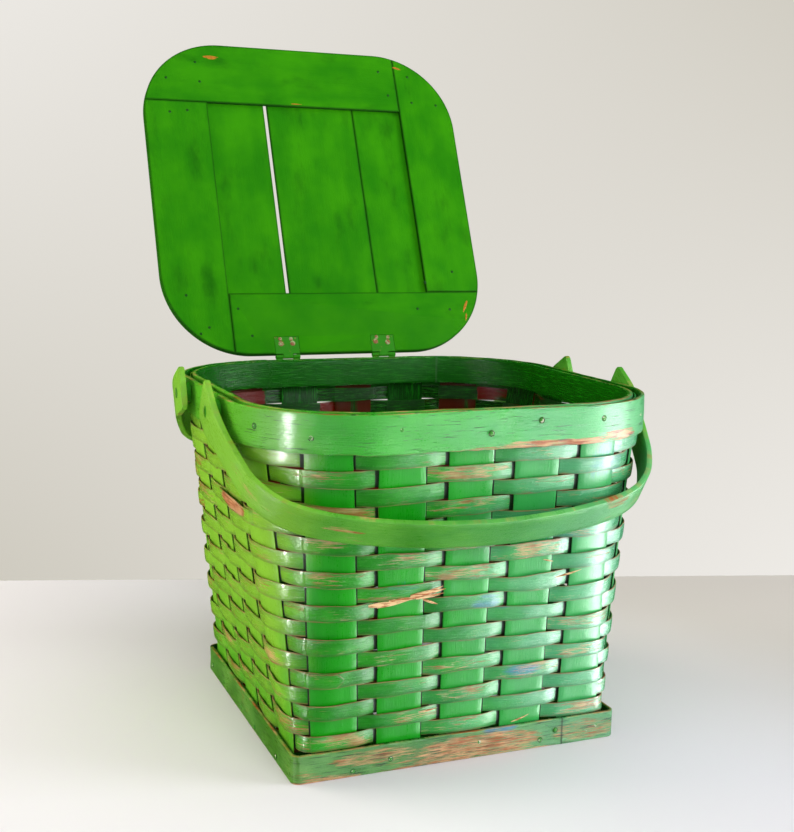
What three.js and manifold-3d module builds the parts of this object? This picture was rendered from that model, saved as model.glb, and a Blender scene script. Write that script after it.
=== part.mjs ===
// Square splint picnic basket with a hinged wooden lid and two swing handles.
// Millimetres, +Z up, origin at the centre of the base on the floor. The lid's hinges are at the back (+Y).
// The lid is drawn standing open, the front handle hangs against the front wall, the rear one hangs behind.
import * as THREE from 'three';
import * as BufferGeometryUtils from 'three/addons/utils/BufferGeometryUtils.js';
import Module from 'manifold-3d';

const wasm = await Module();
wasm.setup();

const GAP = 0.3;

// Driving sizes of the rim and the base, measured over the outside of their bands.
const RIM = { width: 305, depth: 298.7, radius: 87, top: 250.4, height: 24.9, band: 4 };
const BASE = { width: 244.2, depth: 234.2, radius: 6, height: 19.8, band: 3.5, clearance: 0.5 };
const INNER_RIM = { bottom: 228, band: 4 };

// Ash splint: wide upright stakes and narrow weavers of the same thickness.
const SPLINT = 1.2;
const STAKE = { width: 32, perSide: 5, top: 248.5, basePitchX: 46, basePitchY: 44, rimPitch: 48, lean: -11 };
const WEAVER = { rows: 18, top: 225.2, bottom: 20.2, slit: 0.41 };
const WEAVE_OFFSET = SPLINT + GAP;

// How far a splint stays flat past the edge of the splint it crosses, on the walls and on the bottom.
const CROSSING = { wall: 1.2, bottom: 0.5 };

// A flat stake cuts across the round corners by at most this much on either side of the wall's curve.
const CHORD_ROOM = 0.8;

// The woven wall leans out from the top of the base band and stands straight inside the rim bands.
const WALL = { bottom: 20.2, top: 225.2, baseRadius: 10, radiusPower: 0.8 };

// Lid: four frame boards on the inside and three panel boards on the outside, hung on two butt hinges.
const LID = { width: 289.3, depth: 288.5, radius: 72, x: -1.65, board: 3 };
const LID_FRAME = { leftStile: 56, rightStile: 52.5, hingeRail: 54.4, frontRail: 56.6 };
const LID_OPEN_DEG = 114.45;
const PANEL = { slitX: -35.8, slit: 3.2, seamX: 46.2 };
const HINGE = { y: 150.6, z: 252.3, setback: 2.3, faceDrop: 1.7, spacing: 86.5 };
const LEAF = { width: 21, length: 15, plate: 0.8, sink: 0.1 };
const KNUCKLE = { radius: 1.8, hole: 0.95, pin: 0.7, middle: 8.4, clear: 2.2 };

// Swing handles: a bent strap whose ends widen into flat plates, turning on a rivet through the rim.
const HANDLE = { outerX: 162, reach: 130.5, thickness: 4.2, halfWidth: 11 };
const HANDLE_END = { halfWidth: 16, reach: 15, taper: 36 };
const PIVOT = { y: 45, z: 240, frontDeg: 32.5, rearDeg: 26 };
const RIVET = { shank: 2, hole: 2.3, head: 3.6, headDepth: 1.6, tail: 4.5, tailThick: 1.1 };
const SPACER = { radius: 8 };

const colours = {
  weave: new THREE.MeshStandardMaterial({ color: 0x2fa84a, roughness: 0.45, metalness: 0 }),
  stake: new THREE.MeshStandardMaterial({ color: 0x279a3c, roughness: 0.5, metalness: 0 }),
  band: new THREE.MeshStandardMaterial({ color: 0x4cc069, roughness: 0.45, metalness: 0 }),
  lid: new THREE.MeshStandardMaterial({ color: 0x3a9e08, roughness: 0.5, metalness: 0 }),
  handle: new THREE.MeshStandardMaterial({ color: 0x62b94a, roughness: 0.45, metalness: 0 }),
  metal: new THREE.MeshStandardMaterial({ color: 0x4a8a3c, roughness: 0.4, metalness: 0.6 }),
};

const basket = new THREE.Group();

function addPiece(name, geometry, material, parent = basket) {
  const mesh = new THREE.Mesh(geometry, material);
  mesh.name = name;
  parent.add(mesh);
  return mesh;
}

// ---- solids: booleans and lofts -------------------------------------------------------------------

function toSolid(geometry) {
  const plain = geometry.clone();
  plain.deleteAttribute('normal');
  plain.deleteAttribute('uv');
  const merged = BufferGeometryUtils.mergeVertices(plain, 1e-4);
  const vertProperties = new Float32Array(merged.attributes.position.array);
  const triVerts = new Uint32Array(merged.index.array);
  return new wasm.Manifold(new wasm.Mesh({ numProp: 3, vertProperties, triVerts }));
}

function toGeometry(solid) {
  const mesh = solid.getMesh();
  const geometry = new THREE.BufferGeometry();
  geometry.setAttribute('position', new THREE.BufferAttribute(new Float32Array(mesh.vertProperties), 3));
  geometry.setIndex(Array.from(mesh.triVerts));
  return geometry;
}

// A solid through four-cornered sections, either a closed ring or a strip with two flat ends.
function loftSections(sections, closed) {
  const points = sections.flat();
  const index = [];
  const count = sections.length;
  const spans = closed ? count : count - 1;
  for (let s = 0; s < spans; s++) {
    const a = 4 * s;
    const b = 4 * ((s + 1) % count);
    for (let e = 0; e < 4; e++) {
      const f = (e + 1) % 4;
      index.push(a + e, b + e, b + f, a + e, b + f, a + f);
    }
  }
  if (!closed) {
    const z = 4 * (count - 1);
    index.push(0, 1, 2, 0, 2, 3, z, z + 2, z + 1, z, z + 3, z + 2);
  }
  const geometry = new THREE.BufferGeometry();
  geometry.setAttribute('position', new THREE.Float32BufferAttribute(points.flatMap((p) => p.toArray()), 3));
  geometry.setIndex(index);
  return facingOut(geometry);
}

// Turns a closed mesh right side out, judged by its signed volume.
function facingOut(geometry) {
  const p = geometry.attributes.position;
  const i = geometry.index.array;
  let volume = 0;
  for (let t = 0; t < i.length; t += 3) {
    const [a, b, c] = [0, 1, 2].map((k) => new THREE.Vector3().fromBufferAttribute(p, i[t + k]));
    volume += a.dot(b.cross(c));
  }
  if (volume < 0) {
    for (let t = 0; t < i.length; t += 3) {
      [i[t + 1], i[t + 2]] = [i[t + 2], i[t + 1]];
    }
  }
  return geometry;
}

function boxBetween(x0, x1, y0, y1, z0, z1) {
  const geometry = new THREE.BoxGeometry(x1 - x0, y1 - y0, z1 - z0);
  return geometry.translate((x0 + x1) / 2, (y0 + y1) / 2, (z0 + z1) / 2);
}

function cylinderAlongX(radius, x0, x1, y, z, segments = 20) {
  const geometry = new THREE.CylinderGeometry(radius, radius, x1 - x0, segments).rotateZ(Math.PI / 2);
  return geometry.translate((x0 + x1) / 2, y, z);
}

function roundedRectangle(target, width, depth, radius) {
  const x = width / 2 - radius;
  const y = depth / 2 - radius;
  target.absarc(x, -y, radius, -Math.PI / 2, 0, false);
  target.absarc(x, y, radius, 0, Math.PI / 2, false);
  target.absarc(-x, y, radius, Math.PI / 2, Math.PI, false);
  target.absarc(-x, -y, radius, Math.PI, 1.5 * Math.PI, false);
  target.closePath();
  return target;
}

// A bent band: a rounded rectangle with its inside taken out, standing between two heights.
function bandGeometry(width, depth, radius, thickness, bottom, top, arcSteps) {
  const shape = roundedRectangle(new THREE.Shape(), width, depth, radius);
  const inside = Math.max(radius - thickness, 1);
  shape.holes.push(roundedRectangle(new THREE.Path(), width - 2 * thickness, depth - 2 * thickness, inside));
  const options = { depth: top - bottom, bevelEnabled: false, curveSegments: arcSteps };
  return new THREE.ExtrudeGeometry(shape, options).translate(0, 0, bottom);
}

// ---- the wall's shape ------------------------------------------------------------------------------

// The four sides in order round the basket: front, right, back, left.
const SIDES = [
  { out: new THREE.Vector3(0, -1, 0), along: new THREE.Vector3(1, 0, 0), acrossX: true },
  { out: new THREE.Vector3(1, 0, 0), along: new THREE.Vector3(0, 1, 0), acrossX: false },
  { out: new THREE.Vector3(0, 1, 0), along: new THREE.Vector3(-1, 0, 0), acrossX: true },
  { out: new THREE.Vector3(-1, 0, 0), along: new THREE.Vector3(0, -1, 0), acrossX: false },
];

// The stakes' middle surface stands this far inside the outside of the two outer bands.
const RIM_INSET = RIM.band + GAP + WEAVE_OFFSET + SPLINT / 2;
const BASE_INSET = BASE.band + SPLINT / 2 + BASE.clearance;

function wallAt(z) {
  const t = THREE.MathUtils.clamp((z - WALL.bottom) / (WALL.top - WALL.bottom), 0, 1);
  const rimRadius = RIM.radius - RIM_INSET;
  return {
    t,
    halfX: THREE.MathUtils.lerp(BASE.width / 2 - BASE_INSET, RIM.width / 2 - RIM_INSET, t),
    halfY: THREE.MathUtils.lerp(BASE.depth / 2 - BASE_INSET, RIM.depth / 2 - RIM_INSET, t),
    radius: THREE.MathUtils.lerp(WALL.baseRadius, rimRadius, t ** WALL.radiusPower),
  };
}

// A point of the wall at height z, u millimetres along the wall from the middle of a side.
function wallPoint(side, u, z) {
  const wall = wallAt(z);
  const reach = side.acrossX ? wall.halfY : wall.halfX;
  const straight = (side.acrossX ? wall.halfX : wall.halfY) - wall.radius;
  const turn = Math.max(Math.abs(u) - straight, 0) / wall.radius;
  const sign = Math.sign(u);
  const alongStraight = Math.min(Math.abs(u), straight) * sign;
  const point = new THREE.Vector3(0, 0, z);
  point.addScaledVector(side.out, reach - wall.radius + wall.radius * Math.cos(turn));
  point.addScaledVector(side.along, alongStraight + sign * wall.radius * Math.sin(turn));
  return point;
}

function stakeCentre(side, number, z) {
  const { t } = wallAt(z);
  const basePitch = side.acrossX ? STAKE.basePitchX : STAKE.basePitchY;
  return number * THREE.MathUtils.lerp(basePitch, STAKE.rimPitch, t) + STAKE.lean * t;
}

// Where a stake crosses height z: its two edges, and the level directions along and out of it.
// On a round corner the flat stake lies half inside and half outside the curve.
function stakeChord(side, number, z) {
  const u = stakeCentre(side, number, z);
  const start = wallPoint(side, u - STAKE.width / 2, z);
  const end = wallPoint(side, u + STAKE.width / 2, z);
  const along = end.clone().sub(start).normalize();
  const out = new THREE.Vector3(along.y, -along.x, 0);
  const bulge = wallPoint(side, u, z).sub(start.clone().lerp(end, 0.5)).dot(out);
  const middle = start.lerp(end, 0.5).addScaledVector(out, bulge / 2);
  return { middle, along, out };
}

// ---- upright stakes --------------------------------------------------------------------------------

const ROW_PITCH = (WEAVER.top - WEAVER.bottom + WEAVER.slit) / WEAVER.rows;
const SPLINT_HEIGHT = ROW_PITCH - WEAVER.slit;

// Heights at which a stake gets a section: one for every weaver low down, where the corners change
// fastest, and one for every second weaver above.
const LOW_ROWS = 6;

function stakeHeights() {
  const heights = [WALL.bottom];
  for (let row = 1; row <= LOW_ROWS; row++) {
    heights.push(WALL.bottom + row * ROW_PITCH);
  }
  for (let row = LOW_ROWS + 2; row <= WEAVER.rows - 2; row += 2) {
    heights.push(WALL.bottom + row * ROW_PITCH);
  }
  heights.push(WALL.top, STAKE.top);
  return heights;
}

// The bend from the bottom up into the wall, as distances inside the wall and heights above the bottom.
const STAKE_BEND = [[3.2, 0], [1.2, 2], [0.2, 10]];

// The stake's line across the bottom, from the middle of the base out to the wall at WALL.bottom.
// It is flat where it crosses another stake, low or high by turns, and bends up at the wall.
function bottomStations(side, number, wallReach) {
  const crossPitch = side.acrossX ? STAKE.basePitchY : STAKE.basePitchX;
  const flat = STAKE.width / 2 + CROSSING.bottom;
  const low = SPLINT / 2;
  const high = low + WEAVE_OFFSET;
  const levelAt = (cross) => {
    const isEven = Math.abs(number + cross) % 2 === 0;
    return isEven === side.acrossX ? low : high;
  };
  const stations = [];
  for (let cross = 0; cross <= 2; cross++) {
    if (cross > 0) {
      stations.push([cross * crossPitch - flat, levelAt(cross)]);
    }
    stations.push([cross * crossPitch + flat, levelAt(cross)]);
  }
  const last = levelAt(2);
  for (const [inside, rise] of STAKE_BEND) {
    stations.push([wallReach - inside, last + rise]);
  }
  return stations;
}

// Half of a stake: from the middle of the bottom out, and up one wall.
function halfStake(side, number) {
  const wall = wallAt(0);
  const reach = side.acrossX ? wall.halfY : wall.halfX;
  const sideways = number * (side.acrossX ? STAKE.basePitchX : STAKE.basePitchY);
  const stations = bottomStations(side, number, reach).map(([distance, z]) => {
    const middle = new THREE.Vector3(0, 0, z);
    middle.addScaledVector(side.out, distance).addScaledVector(side.along, sideways);
    return { middle, along: side.along };
  });
  for (const z of stakeHeights()) {
    stations.push(stakeChord(side, number, z));
  }
  return stations;
}

// Gives every station of a strip its four corners, square to the strip's own direction.
function stripSections(stations, width, thickness) {
  return stations.map(({ middle, along }, i) => {
    const before = stations[Math.max(i - 1, 0)].middle;
    const after = stations[Math.min(i + 1, stations.length - 1)].middle;
    const inward = middle.clone().sub(before).normalize();
    const onward = after.clone().sub(middle).normalize();
    const direction = inward.clone().add(onward).normalize();
    const bend = Math.max(inward.lengthSq() && onward.lengthSq() ? direction.dot(onward) : 1, 0.5);
    const normal = along.clone().cross(direction).normalize();
    const side = along.clone().multiplyScalar(width / 2);
    const out = normal.multiplyScalar(thickness / 2 / bend);
    return [[-1, -1], [1, -1], [1, 1], [-1, 1]].map(([a, b]) =>
      middle.clone().addScaledVector(side, a).addScaledVector(out, b));
  });
}

// One stake runs down a wall, across the bottom and up the opposite wall.
function stakeGeometry(side, opposite, number) {
  const near = halfStake(side, number).reverse();
  const far = halfStake(opposite, -number);
  for (const station of far) {
    station.along = station.along.clone().negate();
  }
  return loftSections(stripSections([...near, ...far], STAKE.width, SPLINT), false);
}

function addStakes() {
  const [front, right, back, left] = SIDES;
  const outermost = (STAKE.perSide - 1) / 2;
  for (let number = -outermost; number <= outermost; number++) {
    const label = number + outermost + 1;
    addPiece(`stake_front_back_${label}`, stakeGeometry(front, back, number), colours.stake);
    addPiece(`stake_left_right_${label}`, stakeGeometry(right, left, number), colours.stake);
  }
}

// ---- weavers ---------------------------------------------------------------------------------------

// The weaver's line at one height, as level points. It lies flat across each stake, outside and inside
// by turns, changes sides between stakes, and takes two extra points round each corner.
function weaverLine(row, z) {
  const points = [];
  const outermost = (STAKE.perSide - 1) / 2;
  const flat = STAKE.width / 2 + CROSSING.wall;
  SIDES.forEach((side, s) => {
    for (let number = -outermost; number <= outermost; number++) {
      const order = s * STAKE.perSide + number + outermost;
      const offset = (order + row) % 2 === 0 ? -WEAVE_OFFSET : WEAVE_OFFSET;
      const { middle, along, out } = stakeChord(side, number, z);
      middle.addScaledVector(out, offset);
      points.push(middle.clone().addScaledVector(along, -flat), middle.clone().addScaledVector(along, flat));
    }
    points.push(...cornerPoints(side, SIDES[(s + 1) % SIDES.length], outermost, z));
  });
  return points;
}

function cornerPoints(side, next, outermost, z) {
  const wall = wallAt(z);
  const quarter = (Math.PI / 2) * wall.radius;
  const straight = (side.acrossX ? wall.halfX : wall.halfY) - wall.radius;
  const nextStraight = (next.acrossX ? wall.halfX : wall.halfY) - wall.radius;
  const start = stakeCentre(side, outermost, z) + STAKE.width / 2;
  const end = straight + quarter + nextStraight + stakeCentre(next, -outermost, z) - STAKE.width / 2;
  return [0.36, 0.64].map((share) => wallPoint(side, THREE.MathUtils.lerp(start, end, share), z));
}

function offsetRing(points, distance) {
  return points.map((point, i) => {
    const before = point.clone().sub(points[(i + points.length - 1) % points.length]).normalize();
    const after = points[(i + 1) % points.length].clone().sub(point).normalize();
    const along = before.add(after).normalize();
    const out = new THREE.Vector3(along.y, -along.x, 0);
    return point.clone().addScaledVector(out, distance / Math.max(along.dot(after), 0.5));
  });
}

function weaverGeometry(row) {
  const top = WEAVER.top - row * ROW_PITCH;
  const lower = weaverLine(row, top - SPLINT_HEIGHT);
  const upper = weaverLine(row, top);
  const corners = [
    offsetRing(lower, -SPLINT / 2),
    offsetRing(lower, SPLINT / 2),
    offsetRing(upper, SPLINT / 2),
    offsetRing(upper, -SPLINT / 2),
  ];
  return loftSections(lower.map((_, i) => corners.map((ring) => ring[i])), true);
}

function addWeavers() {
  for (let row = 0; row < WEAVER.rows; row++) {
    addPiece(`weaver_${String(row + 1).padStart(2, '0')}`, weaverGeometry(row), colours.weave);
  }
}

// ---- bands -----------------------------------------------------------------------------------------

function addBands() {
  const outer = bandGeometry(RIM.width, RIM.depth, RIM.radius, RIM.band, RIM.top - RIM.height, RIM.top, 5);
  let drilled = toSolid(outer);
  for (const y of [-PIVOT.y, PIVOT.y]) {
    drilled = drilled.subtract(toSolid(cylinderAlongX(RIVET.hole, -RIM.width, RIM.width, y, PIVOT.z)));
  }
  addPiece('rim_outer_band', toGeometry(drilled), colours.band);

  const inset = RIM_INSET + SPLINT / 2 + CHORD_ROOM + GAP;
  const width = RIM.width - 2 * inset;
  const depth = RIM.depth - 2 * inset;
  const inner = bandGeometry(width, depth, RIM.radius - inset, INNER_RIM.band, INNER_RIM.bottom, RIM.top, 5);
  addPiece('rim_inner_band', inner, colours.band);

  const base = bandGeometry(BASE.width, BASE.depth, BASE.radius, BASE.band, 0, BASE.height, 3);
  addPiece('base_band', base, colours.band);
}

// ---- lid -------------------------------------------------------------------------------------------
// The lid's group has its origin on the hinge line. Shut, it reaches along -Y with its inside facing down.

const lidGroup = new THREE.Group();
lidGroup.position.set(LID.x, HINGE.y, HINGE.z);
lidGroup.rotation.x = THREE.MathUtils.degToRad(-LID_OPEN_DEG);
basket.add(lidGroup);

const LID_INSIDE = -HINGE.faceDrop;
const FRAME_TOP = LID_INSIDE + LID.board;
const PANEL_TOP = FRAME_TOP + GAP + LID.board;
const hingeXs = [-HINGE.spacing / 2, HINGE.spacing / 2];

function lidOutline(bottom, top) {
  const shape = roundedRectangle(new THREE.Shape(), LID.width, LID.depth, LID.radius);
  const options = { depth: top - bottom, bevelEnabled: false, curveSegments: 6 };
  const slab = new THREE.ExtrudeGeometry(shape, options);
  return toSolid(slab.translate(0, -HINGE.setback - LID.depth / 2, bottom));
}

// A board of the lid between x0 and x1, and between two distances from the lid's hinged edge.
function lidBoard(outline, x0, x1, near, far, bottom, top) {
  const box = boxBetween(x0, x1, -HINGE.setback - far, -HINGE.setback - near, bottom - 1, top + 1);
  return outline.intersect(toSolid(box));
}

// The hinged rail has a shallow seat for each hinge leaf.
function cutHingeSeats(rail) {
  const depth = LEAF.sink + LEAF.plate + 2 * GAP;
  return hingeXs.reduce((board, x) => {
    const half = LEAF.width / 2 + GAP;
    const reach = KNUCKLE.clear + LEAF.length + GAP;
    const seat = boxBetween(x - half, x + half, -reach, 1, LID_INSIDE - 1, LID_INSIDE + depth);
    return board.subtract(toSolid(seat));
  }, rail);
}

function addLidFrame() {
  const outline = lidOutline(LID_INSIDE, FRAME_TOP);
  const edge = LID.width / 2 + 1;
  const left = -LID.width / 2 + LID_FRAME.leftStile;
  const right = LID.width / 2 - LID_FRAME.rightStile;
  const farRail = LID.depth - LID_FRAME.frontRail;
  const half = GAP / 2;
  const beyond = LID.depth + 1;
  const board = (x0, x1, near, far) => lidBoard(outline, x0, x1, near, far, LID_INSIDE, FRAME_TOP);
  const boards = {
    lid_hinge_rail: cutHingeSeats(board(left + half, edge, -1, LID_FRAME.hingeRail - half)),
    lid_left_stile: board(-edge, left - half, -1, farRail - half),
    lid_right_stile: board(right + half, edge, LID_FRAME.hingeRail + half, beyond),
    lid_front_rail: board(-edge, right - half, farRail + half, beyond),
  };
  for (const [name, solid] of Object.entries(boards)) {
    addPiece(name, toGeometry(solid), colours.lid, lidGroup);
  }
}

function addLidPanel() {
  const bottom = FRAME_TOP + GAP;
  const outline = lidOutline(bottom, PANEL_TOP);
  const edge = LID.width / 2 + 1;
  const cuts = [
    ['lid_panel_left', -edge, PANEL.slitX - PANEL.slit / 2],
    ['lid_panel_middle', PANEL.slitX + PANEL.slit / 2, PANEL.seamX - GAP / 2],
    ['lid_panel_right', PANEL.seamX + GAP / 2, edge],
  ];
  for (const [name, x0, x1] of cuts) {
    const board = lidBoard(outline, x0, x1, -1, LID.depth + 1, bottom, PANEL_TOP);
    addPiece(name, toGeometry(board), colours.lid, lidGroup);
  }
}

// ---- hinges ----------------------------------------------------------------------------------------

function knuckle(x0, x1) {
  const barrel = toSolid(cylinderAlongX(KNUCKLE.radius, x0, x1, 0, 0, 16));
  return barrel.subtract(toSolid(cylinderAlongX(KNUCKLE.hole, x0 - 1, x1 + 1, 0, 0, 12)));
}

// Cuts the pin's hole clean again after a plate has been joined to a knuckle.
function clearPinHole(solid) {
  return solid.subtract(toSolid(cylinderAlongX(KNUCKLE.hole, -LEAF.width, LEAF.width, 0, 0, 12)));
}

function lidLeaf() {
  const half = LEAF.width / 2;
  const z0 = LID_INSIDE + LEAF.sink;
  const z1 = z0 + LEAF.plate;
  const plate = toSolid(boxBetween(-half, half, -KNUCKLE.clear - LEAF.length, -KNUCKLE.clear, z0, z1));
  const middle = KNUCKLE.middle / 2;
  const tab = toSolid(boxBetween(-middle, middle, -KNUCKLE.clear - 0.2, 0, z0, z1));
  return toGeometry(clearPinHole(plate.add(tab).add(knuckle(-middle, middle))));
}

function rimLeaf() {
  const half = LEAF.width / 2;
  const y0 = RIM.depth / 2 + GAP - HINGE.y;
  const y1 = y0 + LEAF.plate;
  const below = RIM.top - HINGE.z - 0.2;
  const inner = KNUCKLE.middle / 2 + GAP;
  let leaf = toSolid(boxBetween(-half, half, y0, y1, below - LEAF.length, below));
  for (const [x0, x1] of [[-half, -inner], [inner, half]]) {
    leaf = leaf.add(toSolid(boxBetween(x0, x1, y0, y1, below - 0.1, 0))).add(knuckle(x0, x1));
  }
  return toGeometry(clearPinHole(leaf));
}

function addHinges() {
  ['left', 'right'].forEach((name, i) => {
    const x = hingeXs[i];
    const pinReach = LEAF.width / 2 + 0.4;
    addPiece(`hinge_${name}_lid_leaf`, lidLeaf(), colours.metal, lidGroup).position.x = x;
    addPiece(`hinge_${name}_rim_leaf`, rimLeaf(), colours.metal).position.set(LID.x + x, HINGE.y, HINGE.z);
    const pin = cylinderAlongX(KNUCKLE.pin, -pinReach, pinReach, 0, 0, 12);
    addPiece(`hinge_${name}_pin`, pin, colours.metal).position.set(LID.x + x, HINGE.y, HINGE.z);
  });
}

// ---- swing handles ---------------------------------------------------------------------------------
// A handle's own frame has X along its pivot line; the strap reaches along -Y and is wide along Z.

// Outside of each half of the strap as [x, reach], from the end past the pivot towards the grip.
// The right half is bent a little tighter than the left.
const STRAP_RIGHT = [
  [HANDLE.outerX, -HANDLE_END.reach], [HANDLE.outerX, 9], [158, 30], [151.5, 54], [144, 76],
  [131, 97], [110.5, 112.2], [63, 125],
];
const STRAP_LEFT = [
  [HANDLE.outerX, -HANDLE_END.reach], [HANDLE.outerX, 10], [159.5, 30], [155.5, 54], [150, 77],
  [136, 98], [112, 112.5], [64, 125],
];

function strapLine() {
  const left = STRAP_LEFT.map(([x, reach]) => [-x, reach]).reverse();
  const route = [...STRAP_RIGHT, [0, HANDLE.reach], ...left];
  const points = route.map(([x, reach]) => new THREE.Vector3(x, -reach, 0));
  return new THREE.CatmullRomCurve3(points, false, 'centripetal').getSpacedPoints(38);
}

function strapShape() {
  const outside = strapLine();
  const inside = outside.map((point, i) => {
    const before = outside[Math.max(i - 1, 0)];
    const after = outside[Math.min(i + 1, outside.length - 1)];
    const along = after.clone().sub(before).normalize();
    return new THREE.Vector3(-along.y, along.x, 0).multiplyScalar(-HANDLE.thickness).add(point);
  });
  const ring = [...outside, ...inside.reverse()];
  return new THREE.Shape(ring.map((p) => new THREE.Vector2(p.x, p.y)));
}

// Side view of the strap: a plain strip that widens towards its end, which is cut to a blunt point.
function strapProfile() {
  const shape = new THREE.Shape();
  const { halfWidth: narrow, reach } = HANDLE;
  const { halfWidth: wide, reach: end, taper } = HANDLE_END;
  shape.moveTo(end - 5, -wide);
  shape.quadraticCurveTo(end, -wide + 1, end, 0);
  shape.lineTo(end, wide - 2);
  shape.quadraticCurveTo(end, wide, end - 3, wide);
  shape.lineTo(-6, wide - 1);
  shape.quadraticCurveTo(-taper * 0.6, narrow + 1, -taper, narrow);
  shape.lineTo(-reach - 2, narrow);
  shape.lineTo(-reach - 2, -narrow);
  shape.lineTo(-taper, -narrow);
  shape.quadraticCurveTo(-taper * 0.6, -narrow - 1, -6, -wide + 1);
  shape.closePath();
  return shape;
}

// The profile is drawn in the Y-Z plane, so its extrusion is turned to run along X.
function profileSolid() {
  const length = 2 * HANDLE.outerX + 20;
  const options = { depth: length, bevelEnabled: false, curveSegments: 3 };
  const slab = new THREE.ExtrudeGeometry(strapProfile(), options);
  const turn = new THREE.Matrix4().makeBasis(
    new THREE.Vector3(0, 1, 0), new THREE.Vector3(0, 0, 1), new THREE.Vector3(1, 0, 0));
  return toSolid(slab.translate(0, 0, -length / 2).applyMatrix4(turn));
}

function handleGeometry() {
  const width = 2 * HANDLE_END.halfWidth + 2;
  const strap = new THREE.ExtrudeGeometry(strapShape(), { depth: width, bevelEnabled: false });
  let solid = toSolid(strap.translate(0, 0, -width / 2)).intersect(profileSolid());
  const hole = cylinderAlongX(RIVET.hole, -HANDLE.outerX - 5, HANDLE.outerX + 5, 0, 0, 16);
  solid = solid.subtract(toSolid(hole));
  const seatRadius = RIVET.head + GAP;
  const seatFloor = HANDLE.outerX - RIVET.headDepth - 2 * GAP;
  for (const side of [-1, 1]) {
    const [x0, x1] = [side * seatFloor, side * (HANDLE.outerX + 5)].sort((a, b) => a - b);
    solid = solid.subtract(toSolid(cylinderAlongX(seatRadius, x0, x1, 0, 0, 16)));
  }
  return toGeometry(solid);
}

function addHandles() {
  const front = addPiece('handle_front', handleGeometry(), colours.handle);
  front.position.set(0, -PIVOT.y, PIVOT.z);
  front.rotation.x = THREE.MathUtils.degToRad(PIVOT.frontDeg);
  const rear = addPiece('handle_rear', handleGeometry(), colours.handle);
  rear.position.set(0, PIVOT.y, PIVOT.z);
  rear.rotation.set(THREE.MathUtils.degToRad(-PIVOT.rearDeg), 0, Math.PI);
}

// ---- rivets and spacers ----------------------------------------------------------------------------

// Turned pieces are drawn as [radius, distance from the basket's middle] and lie along +X.
function turnedAlongX(profile) {
  const points = profile.map(([radius, x]) => new THREE.Vector2(radius, x));
  return new THREE.LatheGeometry(points, 16).rotateZ(-Math.PI / 2);
}

function rivetGeometry() {
  const bandInside = RIM.width / 2 - RIM.band;
  const tailEnd = bandInside - GAP - RIVET.tailThick;
  const headTop = HANDLE.outerX - GAP;
  const headBottom = headTop - RIVET.headDepth + GAP;
  return turnedAlongX([
    [0, tailEnd], [RIVET.tail, tailEnd], [RIVET.tail, bandInside - GAP], [RIVET.shank, bandInside - GAP],
    [RIVET.shank, headBottom], [RIVET.head, headBottom], [RIVET.head, headTop], [0, headTop],
  ]);
}

function spacerGeometry() {
  const inner = RIM.width / 2 + GAP;
  const outer = HANDLE.outerX - HANDLE.thickness - GAP;
  return turnedAlongX([
    [RIVET.hole, inner], [SPACER.radius, inner], [SPACER.radius, outer], [RIVET.hole, outer],
    [RIVET.hole, inner],
  ]);
}

function addPivots() {
  for (const [end, y] of [['front', -PIVOT.y], ['rear', PIVOT.y]]) {
    for (const [side, turn] of [['right', 0], ['left', Math.PI]]) {
      const rivet = addPiece(`rivet_${end}_${side}`, rivetGeometry(), colours.metal);
      const spacer = addPiece(`spacer_${end}_${side}`, spacerGeometry(), colours.handle);
      for (const piece of [rivet, spacer]) {
        piece.position.set(0, y, PIVOT.z);
        piece.rotation.z = turn;
      }
    }
  }
}

addStakes();
addWeavers();
addBands();
addLidFrame();
addLidPanel();
addHinges();
addHandles();
addPivots();

export default basket;
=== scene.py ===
import math
import random

import bpy
import numpy as np
from mathutils import Matrix, Quaternion, Vector


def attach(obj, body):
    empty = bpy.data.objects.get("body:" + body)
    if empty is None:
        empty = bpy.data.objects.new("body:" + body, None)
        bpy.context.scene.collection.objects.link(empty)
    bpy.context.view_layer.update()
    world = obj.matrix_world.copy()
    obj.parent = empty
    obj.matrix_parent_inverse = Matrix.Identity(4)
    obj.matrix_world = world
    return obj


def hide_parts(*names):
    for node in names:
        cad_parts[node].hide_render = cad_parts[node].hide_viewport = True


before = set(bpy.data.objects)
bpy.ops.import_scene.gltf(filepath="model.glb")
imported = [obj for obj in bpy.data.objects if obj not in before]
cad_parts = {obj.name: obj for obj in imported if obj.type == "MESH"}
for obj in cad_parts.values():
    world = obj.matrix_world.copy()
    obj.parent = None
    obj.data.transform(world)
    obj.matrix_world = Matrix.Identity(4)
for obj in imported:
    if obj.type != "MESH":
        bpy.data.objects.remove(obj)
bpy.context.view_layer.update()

# Sizes are in millimetres, as in the CAD source, and become metres when a mesh is made.
MM = 0.001
GAP = 0.3

# ---- sizes repeated from the CAD source ----

RIM_WIDTH, RIM_DEPTH, RIM_RADIUS = 305, 298.7, 87
RIM_TOP, RIM_BOTTOM, RIM_BAND = 250.4, 225.5, 4
INNER_RIM_WIDTH, INNER_RIM_DEPTH, INNER_RIM_RADIUS = 288.8, 282.5, 78.9
INNER_RIM_BOTTOM = 228
BASE_WIDTH, BASE_DEPTH, BASE_RADIUS = 244.2, 234.2, 6
BASE_HEIGHT, BASE_BAND = 19.8, 3.5
RIM_OUTLINE = (RIM_WIDTH, RIM_DEPTH, RIM_RADIUS)
BASE_OUTLINE = (BASE_WIDTH, BASE_DEPTH, BASE_RADIUS)

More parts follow.
